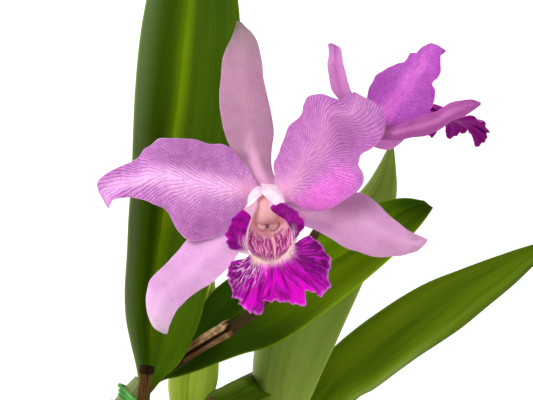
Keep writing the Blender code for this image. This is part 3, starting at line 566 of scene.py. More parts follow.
def tie_strand(lift, slack):
    """One closed loop round the cane and the stake. At each bearing it lies as far out as whichever
    of the two reaches further that way, with a soft change from one to the other; it sinks along +X
    by TIE_SLOPE. The strand is round: at each place a circle in the upright plane of the bearing."""
    share = (TIE_LEVEL - STAKE_FOOT[2]) / (STAKE_TOP[2] - STAKE_FOOT[2])
    posts = np.array((TIED_CANE, (STAKE_FOOT[0] + share * (STAKE_TOP[0] - STAKE_FOOT[0]), STAKE_FOOT[1])))
    reach = np.array((TIED_CANE_RADIUS, STAKE_RADIUS + 0.1)) + slack + TIE_RADIUS
    bearing = np.linspace(0, FULL_TURN, 145)
    ways = np.stack([np.cos(bearing), np.sin(bearing), 0 * bearing], 1)
    lean = ways[:, :2] @ posts.T + reach
    soft = 1 / (1 + np.exp(-(lean[:, :1] - lean[:, 1:]) / 1.2))
    round_cane, round_stake = (post + out * ways[:, :2] for post, out in zip(posts, reach))
    middle = soft * round_cane + (1 - soft) * round_stake
    height = TIE_LEVEL + lift + 0.3 * np.sin(bearing * 2 + lift) + TIE_SLOPE * (posts[0, 0] - middle[:, 0])
    loop = np.column_stack([middle, height])
    round_it = np.linspace(0, FULL_TURN, 13)[:, None]
    circle = np.cos(round_it) * ways[:, None] + np.sin(round_it) * np.array((0, 0, 1.0))
    along = np.stack(np.broadcast_arrays(round_it.T / 6.3, bearing[:, None] * 12), 2)
    return solid(loop[:, None] + TIE_RADIUS * circle, -1, True, along)


strands = [tie_strand(lift, slack) for lift, slack in TIE_STRANDS]
piece("green_tie", strands, strand_finish, ["stake_tie"])

# The leaves
# Two stiff leathery leaves top each cane. They fold up from a grooved midrib that shows as a paler
# stripe, and are dark and waxy on their faces. Along one margin each has painted light, a paler sheen,
# blue-grey on some, but on the rear right leaf painted shade; the front right leaf also has painted
# shade on its lower half and tip.
LEAF_THICKNESS = 1.7
LEAF_GRID = (150, 49)
LEAF_CUP = 1.2
# A row of an outline is one crossing: left margin x, z, right margin x, z, the share of the width
# at which the midrib runs, and then depths y from margin to margin. Three are the left margin's,
# the midrib's and the right margin's; more lie at even steps.
LEAF_A = (
    (-25.4, 196.4, -21, 196.4, 0.5, -1, 0, -1),
    (-26, 203.4, -15.6, 203.2, 0.35, -5, 0, -4),
    (-27, 210, -8.6, 209.8, 0.27, -7, 2, -5),
    (-29, 218.8, -3.4, 218.6, 0.28, -9, 4, -6),
    (-31, 229.8, 0.6, 229.2, 0.3, -11, 6, -4),
    (-31.4, 241.8, 3.6, 241, 0.31, -12, 8, 0),
    (-30.6, 256.6, 7.4, 256, 0.31, -11, 9, 2),
    (-30, 273.6, 11, 273.4, 0.33, -9, 9, 3),
    (-29, 290.8, 13.6, 290.8, 0.35, -6, 9, 3),
    (-28.6, 308, 15.8, 308.4, 0.37, -4, 9, 3),
    (-28, 325.4, 17.4, 325.8, 0.41, -2, 9, 3),
    (-26.8, 342.8, 17.8, 343.2, 0.43, 0, 9, 3),
    (-24.8, 359.2, 17.4, 359.4, 0.45, 2, 10, 4),
    (-21.4, 376, 15.2, 376.2, 0.47, 4, 11, 6),
    (-16.4, 393.2, 10.8, 393.6, 0.5, 8, 14, 10),
    (-11, 406, 5.8, 406.2, 0.5, 13, 17, 14),
    (-4.6, 414.2, -1, 414.2, 0.5, 18, 19, 18),
)
LEAF_B = (
    (-25, 199, -22, 197.5, 0.5, 6.5, 6.5, 6.5),
    (-18.6, 206.5, -15.8, 201, 0.5, 7.5, 8, 7.5),
    (-12.6, 212.2, -10, 202.2, 0.6, 9, 11, 9),
    (-4.6, 224.6, -0.2, 205.4, 0.62, 8, 13, 7),
    (3.4, 237.6, 9.6, 209.4, 0.58, 6, 14, 5),
    (9.6, 243.8, 19.6, 213, 0.5, 5, 14, 4),
    (17.4, 248.6, 30.6, 216, 0.45, 5, 14, 3),
    (27, 253, 42.2, 222.4, 0.44, 5, 14, 3),
    (37, 257.6, 53.2, 230.2, 0.44, 6, 14, 4),
    (45.8, 262.4, 63.4, 237.6, 0.45, 7, 14, 5),
    (54.2, 266.8, 73.4, 245.8, 0.48, 8, 15, 6),
    (63.6, 272.6, 83.2, 254.2, 0.5, 9, 15, 7),
    (72.8, 277.4, 91.2, 262.4, 0.5, 10, 15, 9),
    (81.8, 279.8, 97.2, 269, 0.5, 11, 16, 11),
    (90.2, 280.8, 101.4, 274.2, 0.53, 13, 17, 14),
    (99.2, 279.8, 103.2, 276.6, 0.55, 17, 18, 17),
)
LEAF_D = (
    (30.5, 161.5, 34.5, 161.5, 0.5, 30.5, 30.5, 30.5),
    (26, 177.6, 42.8, 177.6, 0.3, 32, 28, 32),
    (23.8, 188.4, 48.8, 188.6, 0.22, 36, 28, 34),
    (22.8, 199.6, 54, 199.8, 0.22, 39, 29, 36),
    (23.6, 210.6, 59.4, 211.2, 0.23, 42, 30, 37),
    (27.4, 223.6, 65.2, 224, 0.25, 43, 32, 38),
    (35.2, 238.2, 72, 238.6, 0.27, 44, 34, 40),
    (46, 253, 78.6, 253.2, 0.28, 45, 36, 41),
    (57.2, 267, 84.2, 267, 0.3, 46, 38, 42),
    (67.8, 278.6, 88.6, 278.6, 0.3, 46, 40, 43),
    (75.8, 287.4, 89.4, 287.4, 0.3, 46, 41, 43),
    (81.2, 295.8, 88.8, 295.8, 0.35, 45, 42, 44),
    (85, 302.8, 88, 302.8, 0.4, 45, 44, 45),
    (86.4, 306, 87.4, 306, 0.5, 46, 46, 46),
)
LEAF_E = (
    (34.5, 161.5, 38, 161, 0.5, 33, 33, 33),
    (39.4, 174.4, 51, 165.6, 0.55, 44, 40, 46),
    (44.8, 186.2, 62.6, 176.6, 0.65, 52, 45, 54),
    (52, 198.6, 72, 186.2, 0.75, 58, 50, 60),
    (60.2, 209.2, 80.4, 190, 0.8, 62, 54, 66),
    (71.2, 218.4, 91.2, 197.4, 0.8, 65, 57, 69),
    (83.2, 227, 101.8, 204.8, 0.77, 66, 58, 70),
    (95.2, 234.8, 112.4, 211.8, 0.72, 66, 59, 69),
    (107.2, 241.2, 122.8, 219, 0.66, 66, 60, 68),
    (121, 246.6, 135, 229.2, 0.6, 66, 60, 67),
    (135, 251.8, 147, 239.2, 0.55, 66, 61, 67),
    (147.8, 256, 157.4, 249.4, 0.5, 66, 62, 66),
    (158.4, 259, 164.6, 255.6, 0.5, 66, 64, 66),
    (166, 260.4, 167.4, 259.2, 0.5, 66, 66, 66),
)
LEAF_F = (
    (-6.4, 168.5, -2.6, 168.5, 0.5, 24, 24, 24),
    (-13, 178, 0.2, 178, 0.45, 29, 32, 29),
    (-15, 189.4, 4.2, 189.4, 0.42, 29, 33, 29),
    (-15.6, 197.6, 6.8, 197.6, 0.41, 29, 34, 29),
    (-13.8, 206.4, 7.4, 206.4, 0.42, 30, 34, 30),
    (-9.8, 216.4, 7.4, 216.4, 0.45, 31, 35, 31),
    (-5, 226.2, 6.6, 226.2, 0.5, 33, 36, 33),
    (0, 235.2, 6, 235.2, 0.5, 35, 37, 35),
    (2.8, 240.6, 5.2, 240.6, 0.5, 37, 38, 37),
    (3.8, 244.6, 4.6, 244.6, 0.5, 39, 39, 39),
)
LEAF_G = (
    (-2, 168.5, 2, 168.5, 0.5, 20.5, 20.5, 20.5),
    (-3.4, 179, 2.6, 176, 0.5, 19, 21, 19),
    (2.6, 192.8, 9.2, 183.8, 0.55, 17, 20, 17),
    (9.2, 196.6, 19.4, 187, 0.6, 20, 24, 20),
    (16.2, 199.6, 29.6, 190.8, 0.6, 25, 30, 25),
    (23.6, 200.6, 40, 193.2, 0.6, 48, 52, 49),
    (33, 205.2, 47.4, 200.4, 0.55, 50, 54, 51),
    (41.8, 211, 52.2, 208.6, 0.5, 52, 55, 53),
    (49, 216.4, 51.8, 215.6, 0.5, 55, 55, 55),
)
# A leaf's name, outline, dark and light greens, stripe colour, the colour of its painted light along one
# margin, the stripe's width, that margin, the mottling, and the share of painted shade on its lower half and
# tip.
LEAF_TONES = (
    (
        "front_cane_left_leaf", LEAF_A, (40, 66, 0), (70, 100, 0), (112, 144, 0), (104, 124, 76),
        0.16, 0.0, 0.12, 0.0,
    ),
    (
        "front_cane_right_leaf", LEAF_B, (64, 100, 0), (122, 158, 0), (132, 168, 6), (120, 150, 20),
        0.05, 1.0, 0.12, 0.85,
    ),
    (
        "rear_cane_left_leaf", LEAF_D, (90, 111, 32), (124, 146, 60), (122, 140, 70), (164, 174, 138),
        0.06, 0.0, 0.2, 0.0,
    ),
    (
        "rear_cane_right_leaf", LEAF_E, (68, 94, 4), (108, 134, 14), (96, 124, 10), (44, 62, 8),
        0.05, 1.0, 0.3, 0.0,
    ),
    (
        "middle_cane_left_leaf", LEAF_F, (136, 164, 30), (184, 208, 76), (156, 182, 46), (190, 206, 104),
        0.05, 0.0, 0.8, 0.0,
    ),
    (
        "middle_cane_right_leaf", LEAF_G, (42, 66, 2), (76, 100, 10), (92, 114, 24), (96, 116, 46),
        0.08, 0.0, 0.3, 0.0,
    ),
)


def across_and_along(along, across):
    """The two parameters of a blade's grid: t from 0 to 1 along it, and s from -1 to 1 across it."""
    return np.linspace(0, 1, along)[:, None], np.linspace(-1, 1, across)[None]


def crossings(outline, along, across, cup):
    """The middle surface of a blade, as a grid of points. Each crossing runs straight from the midrib
    to either margin in x and z. With three depths, the depth goes from the midrib's to the margin's
    by the distance to the power cup; with more, a smooth curve passes through them."""
    rows = through(outline, along)
    s = across_and_along(along, across)[1]
    left, right = rows[:, None, 0:2], rows[:, None, 2:4]
    rib = left + rows[:, None, 4:5] * (right - left)
    margin = np.where(s[..., None] < 0, left, right)
    flat = rib + np.abs(s)[..., None] * (margin - rib)
    depths = rows[:, 5:]
    if depths.shape[1] == 3:
        edge = np.where(s < 0, depths[:, :1], depths[:, 2:])
        deep = depths[:, 1:2] + np.abs(s) ** cup * (edge - depths[:, 1:2])
    else:
        deep = through(depths.T, across).T
    return np.stack([flat[..., 0], deep, flat[..., 1]], 2)


def normals(grid):
    return unit(np.cross(np.gradient(grid, axis=1), np.gradient(grid, axis=0)))


def vein_lines(grid):
    """Where each point of a blade is among its veins: millimetres from the midrib, and along it."""
    middle = grid[:, grid.shape[1] // 2]
    aside = np.linalg.norm(grid - middle[:, None], axis=2)
    return np.stack(np.broadcast_arrays(aside, far_along(middle)[:, None]), 2)


def blade(name, grid, thickness, finish, stands_for, ribs=0.0):
    """A leaf or petal as one closed solid. Its two faces lie half the thickness either side of the
    middle surface, and close in to one edge all round; ribs raise the front face by millimetres.

    Its maps are place, the shares of the way across and along, and veins.
    """
    rows, columns = grid.shape[:2]
    t, s = across_and_along(rows, columns)
    swell = np.sqrt(np.clip((1 - (2 * t - 1) ** 24) * (1 - s**14), 0, 1))
    out = normals(grid)
    front = grid + out * ((thickness / 2 + ribs) * swell)[..., None]
    back = grid - out * (thickness / 2 * swell)[..., None]
    number = np.arange(rows * columns).reshape(rows, columns)
    edge = np.ones((rows, columns), bool)
    edge[1:-1, 1:-1] = False
    below = np.where(edge, number, number + rows * columns)
    faces = triangles(rows, columns)
    faces = np.concatenate([faces, faces[:, ::-1] + rows * columns])
    place = np.stack(np.broadcast_arrays((s + 1) / 2, t), 2)
    maps = {"place": place, "veins": vein_lines(grid)}
    maps = {layer: np.concatenate([values, values]).reshape(-1, 2) for layer, values in maps.items()}
    points = np.concatenate([front, back]).reshape(-1, 3)
    weld = np.concatenate([number, below]).ravel()
    behind = np.concatenate([0.0 * edge, 1.0 - edge])
    return piece(name, [(points, faces, weld, maps)], finish, [stands_for], behind)


def leaf_finish(name, dark, light, stripe, blotch_and_side_light, stripe_width, side_light_margin, mottling, foot):
    """Waxy leaf skin: fine lines along the leaf, a paler stripe on the midrib, soft blotches, pale
    speckles, and painted light toward one margin, 0 the left and 1 the right: a painted sheen where
    its colour is paler than the leaf, painted shade where it is darker. Lengths across are shares of
    the width; mottling is the share of the speckles' colours, and foot that of the painted shade,
    dark green, on the leaf's lower half and tip."""
    leaf = Finish(name, Specular_IOR_Level=0.03)
    across, along = leaf.laid("place")
    lines = leaf.fibre(across * 46.0, along * 1.6, 4.0, 0.6)
    broad = leaf.fibre(across * 5.0, along * 1.8, 2.0, level=3.0)
    speckle = leaf.noise(leaf.spot(), 0.55, 4.0, 0.7)
    aside = abs(across - 0.5) * 2.0
    tone = leaf.mix((broad * 0.7 + lines * 0.3).rise(0.2, 0.8), dark, light)
    glow = (aside + broad * 0.1).rise(stripe_width * 1.6 + 0.05, 0.02) * along.rise(1.1, 0.6)
    tone = tone.coat(glow * along.rise(0.0, 0.35) * 0.8, stripe)
    # Painted light along one margin: a sheen, or painted shade on a leaf whose colour there is dark.
    tone = tone.coat((abs(across - side_light_margin) + broad * 0.12).rise(0.3, 0.05) * 0.7, blotch_and_side_light)
    tone = tone.coat(speckle.rise(0.62, 0.76) * mottling, stripe)
    tone = tone.coat(speckle.rise(0.38, 0.26) * mottling, dark)
    # Painted shade: darker green on the lower half and at the tip, of share foot.
    deep = (along - aside * 0.1 + lines * 0.06).rise(0.56, 0.34) + (along + lines * 0.1).rise(0.78, 1.0)
    tone = tone.coat(deep * foot, (22, 54, 0))
    tone = tone.coat(aside.rise(0.965, 1.0) * 0.6, stripe)
    return leaf.surface(tone, 0.4 + lines * 0.1 + speckle * 0.1, lines * 0.6 + speckle * 0.4, 0.08)


for name, outline, *tones in LEAF_TONES:
    s = across_and_along(*LEAF_GRID)[1]
    groove = -0.5 * np.exp(-((s / 0.05) ** 2)) + 0.05 * np.cos(40 * s)
    finish = leaf_finish(name + "_skin", *tones)
    grid = crossings(outline, *LEAF_GRID, LEAF_CUP)
    blade(name + "_blade", grid, LEAF_THICKNESS, finish, name, groove)

# The flower stalk
# One wiry brown-green stalk rises from the top of the front cane and carries both flowers. It has
# a ring at each joint, and flutes that deepen toward a flower, where it turns a paler buff.
FLOWER_STALK = (
    (-23.9, 4.2, 201.9, 2.1),
    (-20.2, 3.9, 203.9, 2.3),
    (-12, 1.5, 207.8, 2.3),
    (0.4, -5, 216.3, 2.3),
    (14.3, -11, 225.4, 2.3),
    (23.3, -13, 232.4, 2.3),
    (36.8, -14, 246.9, 2.2),
    (50, -14, 266, 2.0),
    (60.1, -15, 282.1, 1.8),
    (64.3, -20, 295.6, 1.8),
    (65.3, -22.5, 305.4, 2.6),
    (67.8, -20.5, 307.8, 3.6),
    (69.5, -19.1, 309.5, 4.3),
)
FRONT_PEDICEL = (
    (36.8, -14, 246.9, 1.6),
    (39.5, -14, 254, 1.7),
    (35.6, -15, 265, 1.9),
    (31, -19, 277, 2.6),
    (28.8, -27, 281.4, 3.2),
    (28.8, -32.6, 281.6, 4.1),
)
STALK_STEPS = 220
STALK_SIDES = 36
stalk = Finish("flower_stalk_skin", Specular_IOR_Level=0.08)
here = stalk.spot()
up = stalk.parts(here)[2]
around, length = stalk.laid("along")
streak = stalk.fibre(around * 18.0, length * 0.12, 4.0, 0.65)
mottle = stalk.noise(here, 0.5, 3.0)
tone = stalk.mix(streak.rise(0.35, 0.65), (44, 32, 8), (86, 68, 30))
tone = tone.coat(mottle.rise(0.5, 0.7) * 0.6, (74, 84, 20))
# Painted shade: the stalk is darker low down, in and just above the sheath.
tone = tone.coat(up.rise(250, 226) * 0.75, (46, 32, 12))
tone = tone.coat(up.rise(262, 285), (150, 128, 96))
stalk_finish = stalk.surface(tone, 0.5 + streak * 0.25, streak * 0.6 + mottle * 0.4, 0.3)
stalk_parts = []
for rows, joints in ((FLOWER_STALK, (0.1, 0.33, 0.52, 0.72)), (FRONT_PEDICEL, (0.12,))):
    stem = through(rows, STALK_STEPS)
    t = np.linspace(0, 1, STALK_STEPS)[:, None]
    flutes = 0.05 * t**2 * np.cos(6 * np.linspace(0, FULL_TURN, STALK_SIDES + 1))
    swell = 1 + joint_rings(t, joints, 0.16, 0.006) + flutes
    stalk_parts.append(rod(stem[:, :3], stem[:, 3:] * swell, STALK_SIDES))
piece("flower_stalk_and_necks", stalk_parts, stalk_finish, ["flower_stalk"])

# The sheaths
# The flower buds pushed out of a papery green sheath that has since dried: tan, fibrous, split along
# its lower side and ragged at its mouth. The brown stub of an older one stands on the middle cane.
PAPER_THICKNESS = 0.6
# The sheath wraps the stalk from one row of FLOWER_STALK to another, between two angles round it.
SHEATH_ROWS = (2.5, 4)
SHEATH_STEPS = 40
SHEATH_RADII = (2.95, 4.0)
SHEATH_MARGINS = (math.radians(-78), math.radians(140))
STUB_GRID = (60, 25)
STUB_CUP = 1.5
OLD_SHEATH = (
    (-0.6, 170.7, 2.6, 170.7, 0.5, 18.6, 18.2, 18.8),
    (0, 180, 5.5, 179.5, 0.5, 15.5, 14, 16),
    (2, 188, 6.5, 187.5, 0.5, 14, 12.5, 15),
    (4, 193, 6, 192.5, 0.5, 13, 12.5, 13.5),
)


def paper_finish(name, dark, light, burnt, split_shade=0.0):
    """Dry papery skin: fibres along it, stains, burnt ends, and painted shade of the strength that the
    last argument gives: a dark split and duller paper below it, where the upper flap shades the lower
    side. The face that the blade's behind names is the inside, darkened as painted shade."""
    paper = Finish(name, Specular_IOR_Level=0.05)
    here = paper.spot()
    behind = paper.node("ShaderNodeAttribute", {"attribute_name": "behind"}, {}, "Fac")
    across, along = paper.laid("place")
    fibre = paper.fibre(across * 26.0, along * 1.5, 5.0, 0.7)
    stain = paper.noise(here, 0.2, 4.0, 0.6)
    tone = paper.mix(fibre.rise(0.32, 0.68), dark, light)
    tone = tone.coat(stain.rise(0.5, 0.68) * 0.7, burnt)
    tone = tone.coat((along + fibre * 0.12).rise(0.94, 1.04) * 0.8, burnt)
    tone = tone.coat((along + fibre * 0.3).rise(0.85, 0.5) * 0.85, burnt)
    tone = tone.coat(paper.noise(here, 0.9, 3.0, 0.6).rise(0.56, 0.62) * 0.7, burnt)
    # Painted shade along the lower side, where the upper flap shades it: duller paper and a dark split.
    shaded_lower_side = (across + fibre * 0.05).rise(0.72, 0.76)
    tone = tone.coat(shaded_lower_side * split_shade * 0.8, (76, 46, 20))
    tone = tone.coat(shaded_lower_side * (across + stain * 0.1).rise(0.92, 0.87) * split_shade, (26, 10, 2))
    # Painted shade on the inner face.
    tone = tone.coat(behind * 0.8, (44, 20, 6))
    return paper.surface(tone, 0.7 + fibre * 0.2, fibre, 0.4)


stem = through(FLOWER_STALK, SHEATH_STEPS * (len(FLOWER_STALK) - 1) + 1)
stem = stem[round(SHEATH_STEPS * SHEATH_ROWS[0]) : SHEATH_STEPS * SHEATH_ROWS[1] + 1, :3]
ahead = unit(np.gradient(stem, axis=0))
top = unit(np.array((0, 0, 1)) - ahead[:, 2:] * ahead)
side = np.cross(ahead, top)
angle = np.linspace(*SHEATH_MARGINS, 61)
t = np.linspace(0, 1, len(stem))[:, None]
radius = SHEATH_RADII[0] + t * (SHEATH_RADII[1] - SHEATH_RADII[0]) + 0.25 * np.cos(9 * angle + 2 * t)
radius = radius + 0.5 * t**6 * np.cos(5 * angle + 1)
radius = radius + 0.9 * np.exp(-(((angle - 0.7) / 0.6) ** 2)) * np.sin(math.pi * t)
radius = radius - 0.6 * np.exp(-(((angle - 1.65) / 0.2) ** 2))
ragged = (0.9 * np.sin(7 * angle) + 0.6 * np.sin(17 * angle + 1)) * t**4
steps = np.stack([radius * np.cos(angle), radius * np.sin(angle), ragged], 2)
cloth = stem[:, None] + np.einsum("ijk,kic->ijc", steps, np.stack([top, side, ahead]))
paper_skin = paper_finish("dry_sheath_paper", (176, 130, 74), (250, 220, 164), (66, 38, 14), 0.95)
blade("flower_sheath_paper", cloth, PAPER_THICKNESS, paper_skin, "flower_sheath")
stub = crossings(OLD_SHEATH, *STUB_GRID, STUB_CUP)
stub_skin = paper_finish("old_sheath_paper", (92, 58, 32), (156, 112, 70), (60, 38, 24))
blade("old_sheath_stub", stub, PAPER_THICKNESS, stub_skin, "old_sheath")

# The front flower's sepals
# Three narrow firm sepals stand behind the petals, one up and two down. They are smooth pale
# rose-mauve, a little duller than the petals, with faint veins along them, and a paler patch of
# painted light where the petals shade them.
FRONT_HEART = (28.8, -35.0, 281.6)
SEPAL_THICKNESS = 0.8
TEPAL_GRID = (150, 81)
TEPAL_CUP = 1.5
VEIN_START = 3.0
VEIN_CURVE = 2.8
VEIN_MIDDLE = 2.5
FORK_SHIFT = 1.4
FLESH = {"Subsurface_Weight": 0.3, "Subsurface_Scale": 0.3 * MM, "Specular_IOR_Level": 0.2}
# Outlines are rows as the leaves have them, but from the flower's heart, where its parts join.
DORSAL_SEPAL = (
    (-3.8, 1.6, 3, 1.6, 0.5, 2, 2, 2),
    (-6.8, 5.4, 4.4, 5, 0.5, 2, 3, 2),
    (-10.4, 13.6, 2.4, 12, 0.5, 3, 4, 4),
    (-14.8, 20.2, 2.4, 19, 0.5, 4, 4, 5),
    (-17.8, 28.6, 3.2, 27.4, 0.5, 5, 4, 6),
    (-19.2, 38.6, 1.6, 37.2, 0.5, 6, 4, 6),
    (-19, 48, -0.8, 48, 0.5, 6, 4, 6),
    (-17.8, 57.6, -2, 57.2, 0.5, 7, 5, 7),
    (-14.6, 65.2, -4, 65.4, 0.5, 8, 7, 9),
    (-12.6, 70.8, -8.8, 71, 0.4, 10, 10, 11),
    (-12.4, 73.2, -11.6, 73.2, 0.5, 12, 12, 12),
)
LEFT_LATERAL_SEPAL = (
    (-1.2, -5.4, -3.6, -2.8, 0.5, 1.5, 1.5, 1.5),
    (-4.2, -10.8, -9.8, -5, 0.5, 3, 2, 3),
    (-8.2, -18.2, -18.2, -8.6, 0.5, 6, 3, 7),
    (-12, -24.8, -26.2, -13.2, 0.5, 7, 4, 8),
    (-16.6, -30.6, -32.8, -18.2, 0.5, 7, 3, 7),
    (-22.4, -35.6, -38, -24.4, 0.5, 6, 2, 6),
    (-28.6, -39.8, -43.4, -29.8, 0.5, 5, 1, 4),
    (-33.8, -43.8, -47.6, -34.6, 0.5, 4, 0, 3),
    (-37.2, -47.8, -49.4, -40, 0.5, 4, 0, 3),
    (-39.2, -52, -49.2, -47, 0.5, 4, 1, 4),
    (-40.2, -54.8, -46.8, -53.4, 0.5, 4, 3, 5),
    (-41, -57.2, -42.2, -57, 0.5, 6, 6, 6),
)
RIGHT_LATERAL_SEPAL = (
    (4.6, -2.4, 4.6, -5.4, 0.5, 1.5, 1.5, 1.5),
    (9.8, -2.4, 9.8, -8.6, 0.5, 3, 2, 3),
    (16.2, -2, 15.2, -12, 0.5, 6, 4, 4),
    (23.2, -1.6, 20.6, -14.2, 0.5, 8, 5, 4),
    (29.4, -2, 26.8, -17.6, 0.5, 8, 5, 3),
    (34.8, 0.4, 32.6, -21.2, 0.5, 8, 3, 3),
    (39.4, 1.8, 38.4, -23.2, 0.5, 8, 1, 3),
    (44.4, -1.6, 44.4, -24.8, 0.5, 6, -1, 2),
    (50.2, -7.4, 51, -25, 0.5, 3, -2, 2),
    (56.2, -12.4, 57, -24.2, 0.5, 1, -3, 0),
    (61.4, -15.6, 61.8, -22.4, 0.5, -1, -4, -2),
    (64.8, -17.2, 64.2, -20, 0.5, -4, -5, -5),
    (65.6, -17.4, 65.4, -18.2, 0.5, -6, -6, -6),
)
SEPAL_TONES = (
    (
        "front_dorsal_sepal", DORSAL_SEPAL, 1.0, (0.5, 0.14, 0.22), (255, 196, 230),
        (255, 202, 242), (196, 144, 170), (188, 138, 166), (144, 130, 122),
    ),
    (
        "front_left_sepal", LEFT_LATERAL_SEPAL, 2.0, (0.5, 0.3, 0.1), (240, 186, 232),
        (240, 186, 232), (238, 184, 232), (232, 176, 226), (232, 200, 224),
    ),
    (
        "front_right_sepal", RIGHT_LATERAL_SEPAL, 3.0, (0.45, 0.3, 0.26), (238, 186, 222),
        (218, 160, 198), (216, 162, 202), (212, 156, 198), (228, 170, 208),
    ),
)


def flesh_finish(name, tones, veins, vein_share, net, flushes_and_painted_light=(), straight=False):
    """Petal skin: a paler band on the midrib and at the base, darker margins, veins, and a finer net
    between them, the borders of long cells. Both lie sunk in the skin. A flush is a patch of another
    colour, on the sepals a lighter patch of painted light where the petals shade them: that and its
    veins' colour, then its middle in shares across and along, and its size.

    Straight veins run the length of the blade, and veins is how many lie across it. The others fan
    out from the base: each keeps distance from the midrib = a number times (distance along +
    VEIN_START) to the power VEIN_CURVE. They fork, so that they stay about veins millimetres apart;
    FORK_SHIFT takes off what noise adds on average to the place of the forks.
    """
    base, rib, body, tip, shadow, vein = tones
    flesh = Finish(name, **FLESH)
    here = flesh.spot()
    across, along = flesh.laid("place")
    off, run = flesh.laid("veins")
    aside = abs(across - 0.5) * 2.0
    wander = flesh.noise(here, 0.1, 3.0)
    drift = flesh.noise(here, 0.35, 2.0)
    grain = flesh.noise(here, 1.6, 2.0)
    if straight:
        number = across * veins + wander * 1.6 + drift * 0.5
        fork = flesh.noise(here, 0.16, 2.0).rise(0.47, 0.53)
    else:
        level = flesh.maths("LOGARITHM", run + VEIN_START, 2.0) * VEIN_CURVE
        step = level + drift * 0.8 + wander * 2.0 - FORK_SHIFT
        whole = flesh.maths("FLOOR", step)
        fork = (step - whole).rise(0.2, 0.7)
        number = (off + wander * 3.0 + drift * 0.8) * (1 / veins) * flesh.maths("POWER", 2.0, whole - level)
    single = flesh.maths("PINGPONG", number, 0.5).rise(0.2, 0.05)
    double = flesh.maths("PINGPONG", number * 2.0, 0.5).rise(0.3, 0.08)
    main = single + fork * (double - single)
    cells = {"Vector": flesh.place(off * 0.9 + wander * 4.0, run * 0.5, 7.0), "Scale": 1.0}
    border = flesh.node("ShaderNodeTexVoronoi", {"feature": "DISTANCE_TO_EDGE"}, cells, "Distance")
    cross = border.rise(0.16, 0.03)
    tone = flesh.mix((aside + wander * 0.3).rise(0.16, 0.6), rib, body)
    tone = tone.coat(along.rise(0.6, 1.0), tip)
    if not straight:
        tone = tone.coat((aside + drift * 0.3).rise(0.6, 1.1) * 0.7, shadow)
    tone = tone.coat((along + aside * 0.1).rise(0.3, 0.04), base)
    ink = vein
    for colour, lines, mid_across, mid_along, size in flushes_and_painted_light:
        away = (abs(across - mid_across) ** 2.0 + abs(along - mid_along) ** 2.0) ** 0.5
        within = (away + wander * 0.1).rise(size * 1.5, size * 0.5)
        tone = tone.coat(within * 0.9, colour)
        ink = flesh.mix(within, ink, lines)
    reach = (aside + wander * 0.2).rise(0.1, 0.6) * 0.5 + 0.5
    fade = reach * (along + aside * 0.2).rise(0.05, 0.3) * (drift.rise(0.3, 0.6) * 0.4 + 0.6)
    tone = tone.coat(main * fade * vein_share, ink)
    tone = tone.coat(cross * fade * net, ink)
    tone = tone.coat(aside.rise(0.965, 0.99) * 0.7, rib)
    relief = wander * 0.3 + grain * 0.2 - main * 0.25 - cross * 0.2
    return flesh.surface(tone, 0.5 + grain * 0.2, relief, 0.3)


def tepal(name, outline, heart, thickness, finish, ruffle, folds, seed, bulges=()):
    """A sepal or a petal: its crossings from the flower's heart, with margins that wave by ruffle
    times the distance from the midrib, cubed, and folds that fan out along the veins, which
    VEIN_MIDDLE keeps from crowding on the midrib. A bulge is its middle in s and t, its two sizes,
    and how far it comes forward, as a bell curve of both."""
    grid = crossings(outline, *TEPAL_GRID, TEPAL_CUP) + np.array(heart)
    t, s = across_and_along(*TEPAL_GRID)
    wave = np.sin(23 * t + 4 * s + seed) + 0.6 * np.sin(41 * t - 3 * s + 2 * seed)
    wave = wave + 0.4 * np.sin(67 * t + seed)
    rise = ruffle * wave * np.abs(s) ** 3 * np.sin(math.pi * t) ** 0.5
    off, run = np.moveaxis(vein_lines(grid), 2, 0)
    number = np.log(off + VEIN_MIDDLE) / VEIN_CURVE - np.log(run + VEIN_START)
    fan = np.sin(11 * number + seed) + 0.6 * np.sin(19 * number + 2 * seed)
    rise = rise + folds * fan * np.abs(s) * np.sin(math.pi * t)
    for mid_s, mid_t, size_s, size_t, forward in bulges:
        rise = rise + forward * np.exp(-(((s - mid_s) / size_s) ** 2) - ((t - mid_t) / size_t) ** 2)
    grid += rise[..., None] * normals(grid)
    groove = -0.12 * np.exp(-((s / 0.05) ** 2)) * (1 - t**2)
    blade(name + "_blade", grid, thickness, finish, name, groove)


for name, outline, seed, place, painted_light, *tones in SEPAL_TONES:
    # Each sepal's paler patch is painted light, where the petals shade it.
    flushes_and_painted_light = ((painted_light, (190, 110, 170), *place),)
    tones = (*tones, (190, 128, 178), (160, 90, 144))
    skin = flesh_finish(name + "_skin", tones, 26.0, 0.4, 0.1, flushes_and_painted_light, straight=True)
    tepal(name, outline, FRONT_HEART, SEPAL_THICKNESS, skin, 0.25, 0.1, seed)

# The front flower's petals
# Two broad thin petals with ruffled margins, soft pink-lilac with a paler midrib. Purple veins fan
# out of the base, darker toward the margins, and the skin is puckered between them.
PETAL_THICKNESS = 0.5
LEFT_PETAL = (
    (-3.4, -2.4, -2.6, 2.4, 0.5, -1, -1, -1),
    (-7, -4, -6, 9.4, 0.44, -1, -4, -1),
    (-11.4, -8.2, -9.8, 15.4, 0.45, 0, -7, 1),
    (-16.8, -13.6, -15, 19.8, 0.5, 2, -9, 3),
    (-23.8, -17.6, -23.2, 22.2, 0.56, 3, -10, 4),
    (-31, -18.2, -31.4, 24, 0.57, 3, -10, 4),
    (-37, -13.6, -38.8, 24.2, 0.56, 1, -9, 4),
    (-40.4, -6.6, -45, 23, 0.5, -2, -8, 3),
    (-45.6, -3, -49.8, 19.8, 0.47, -3, -6, 2),
    (-51.4, -1.2, -52.8, 15.6, 0.43, -3, -4, 0),
    (-56.8, -0.6, -59.8, 12.2, 0.38, -2, -2, -1),
    (-61, -1.2, -66.6, 8.6, 0.38, -1, 1, 1),
    (-63.6, -2.8, -69.8, 4.2, 0.5, 1, 4, 4),
    (-65, -5.2, -66, -4.4, 0.5, 5, 6, 6),
)
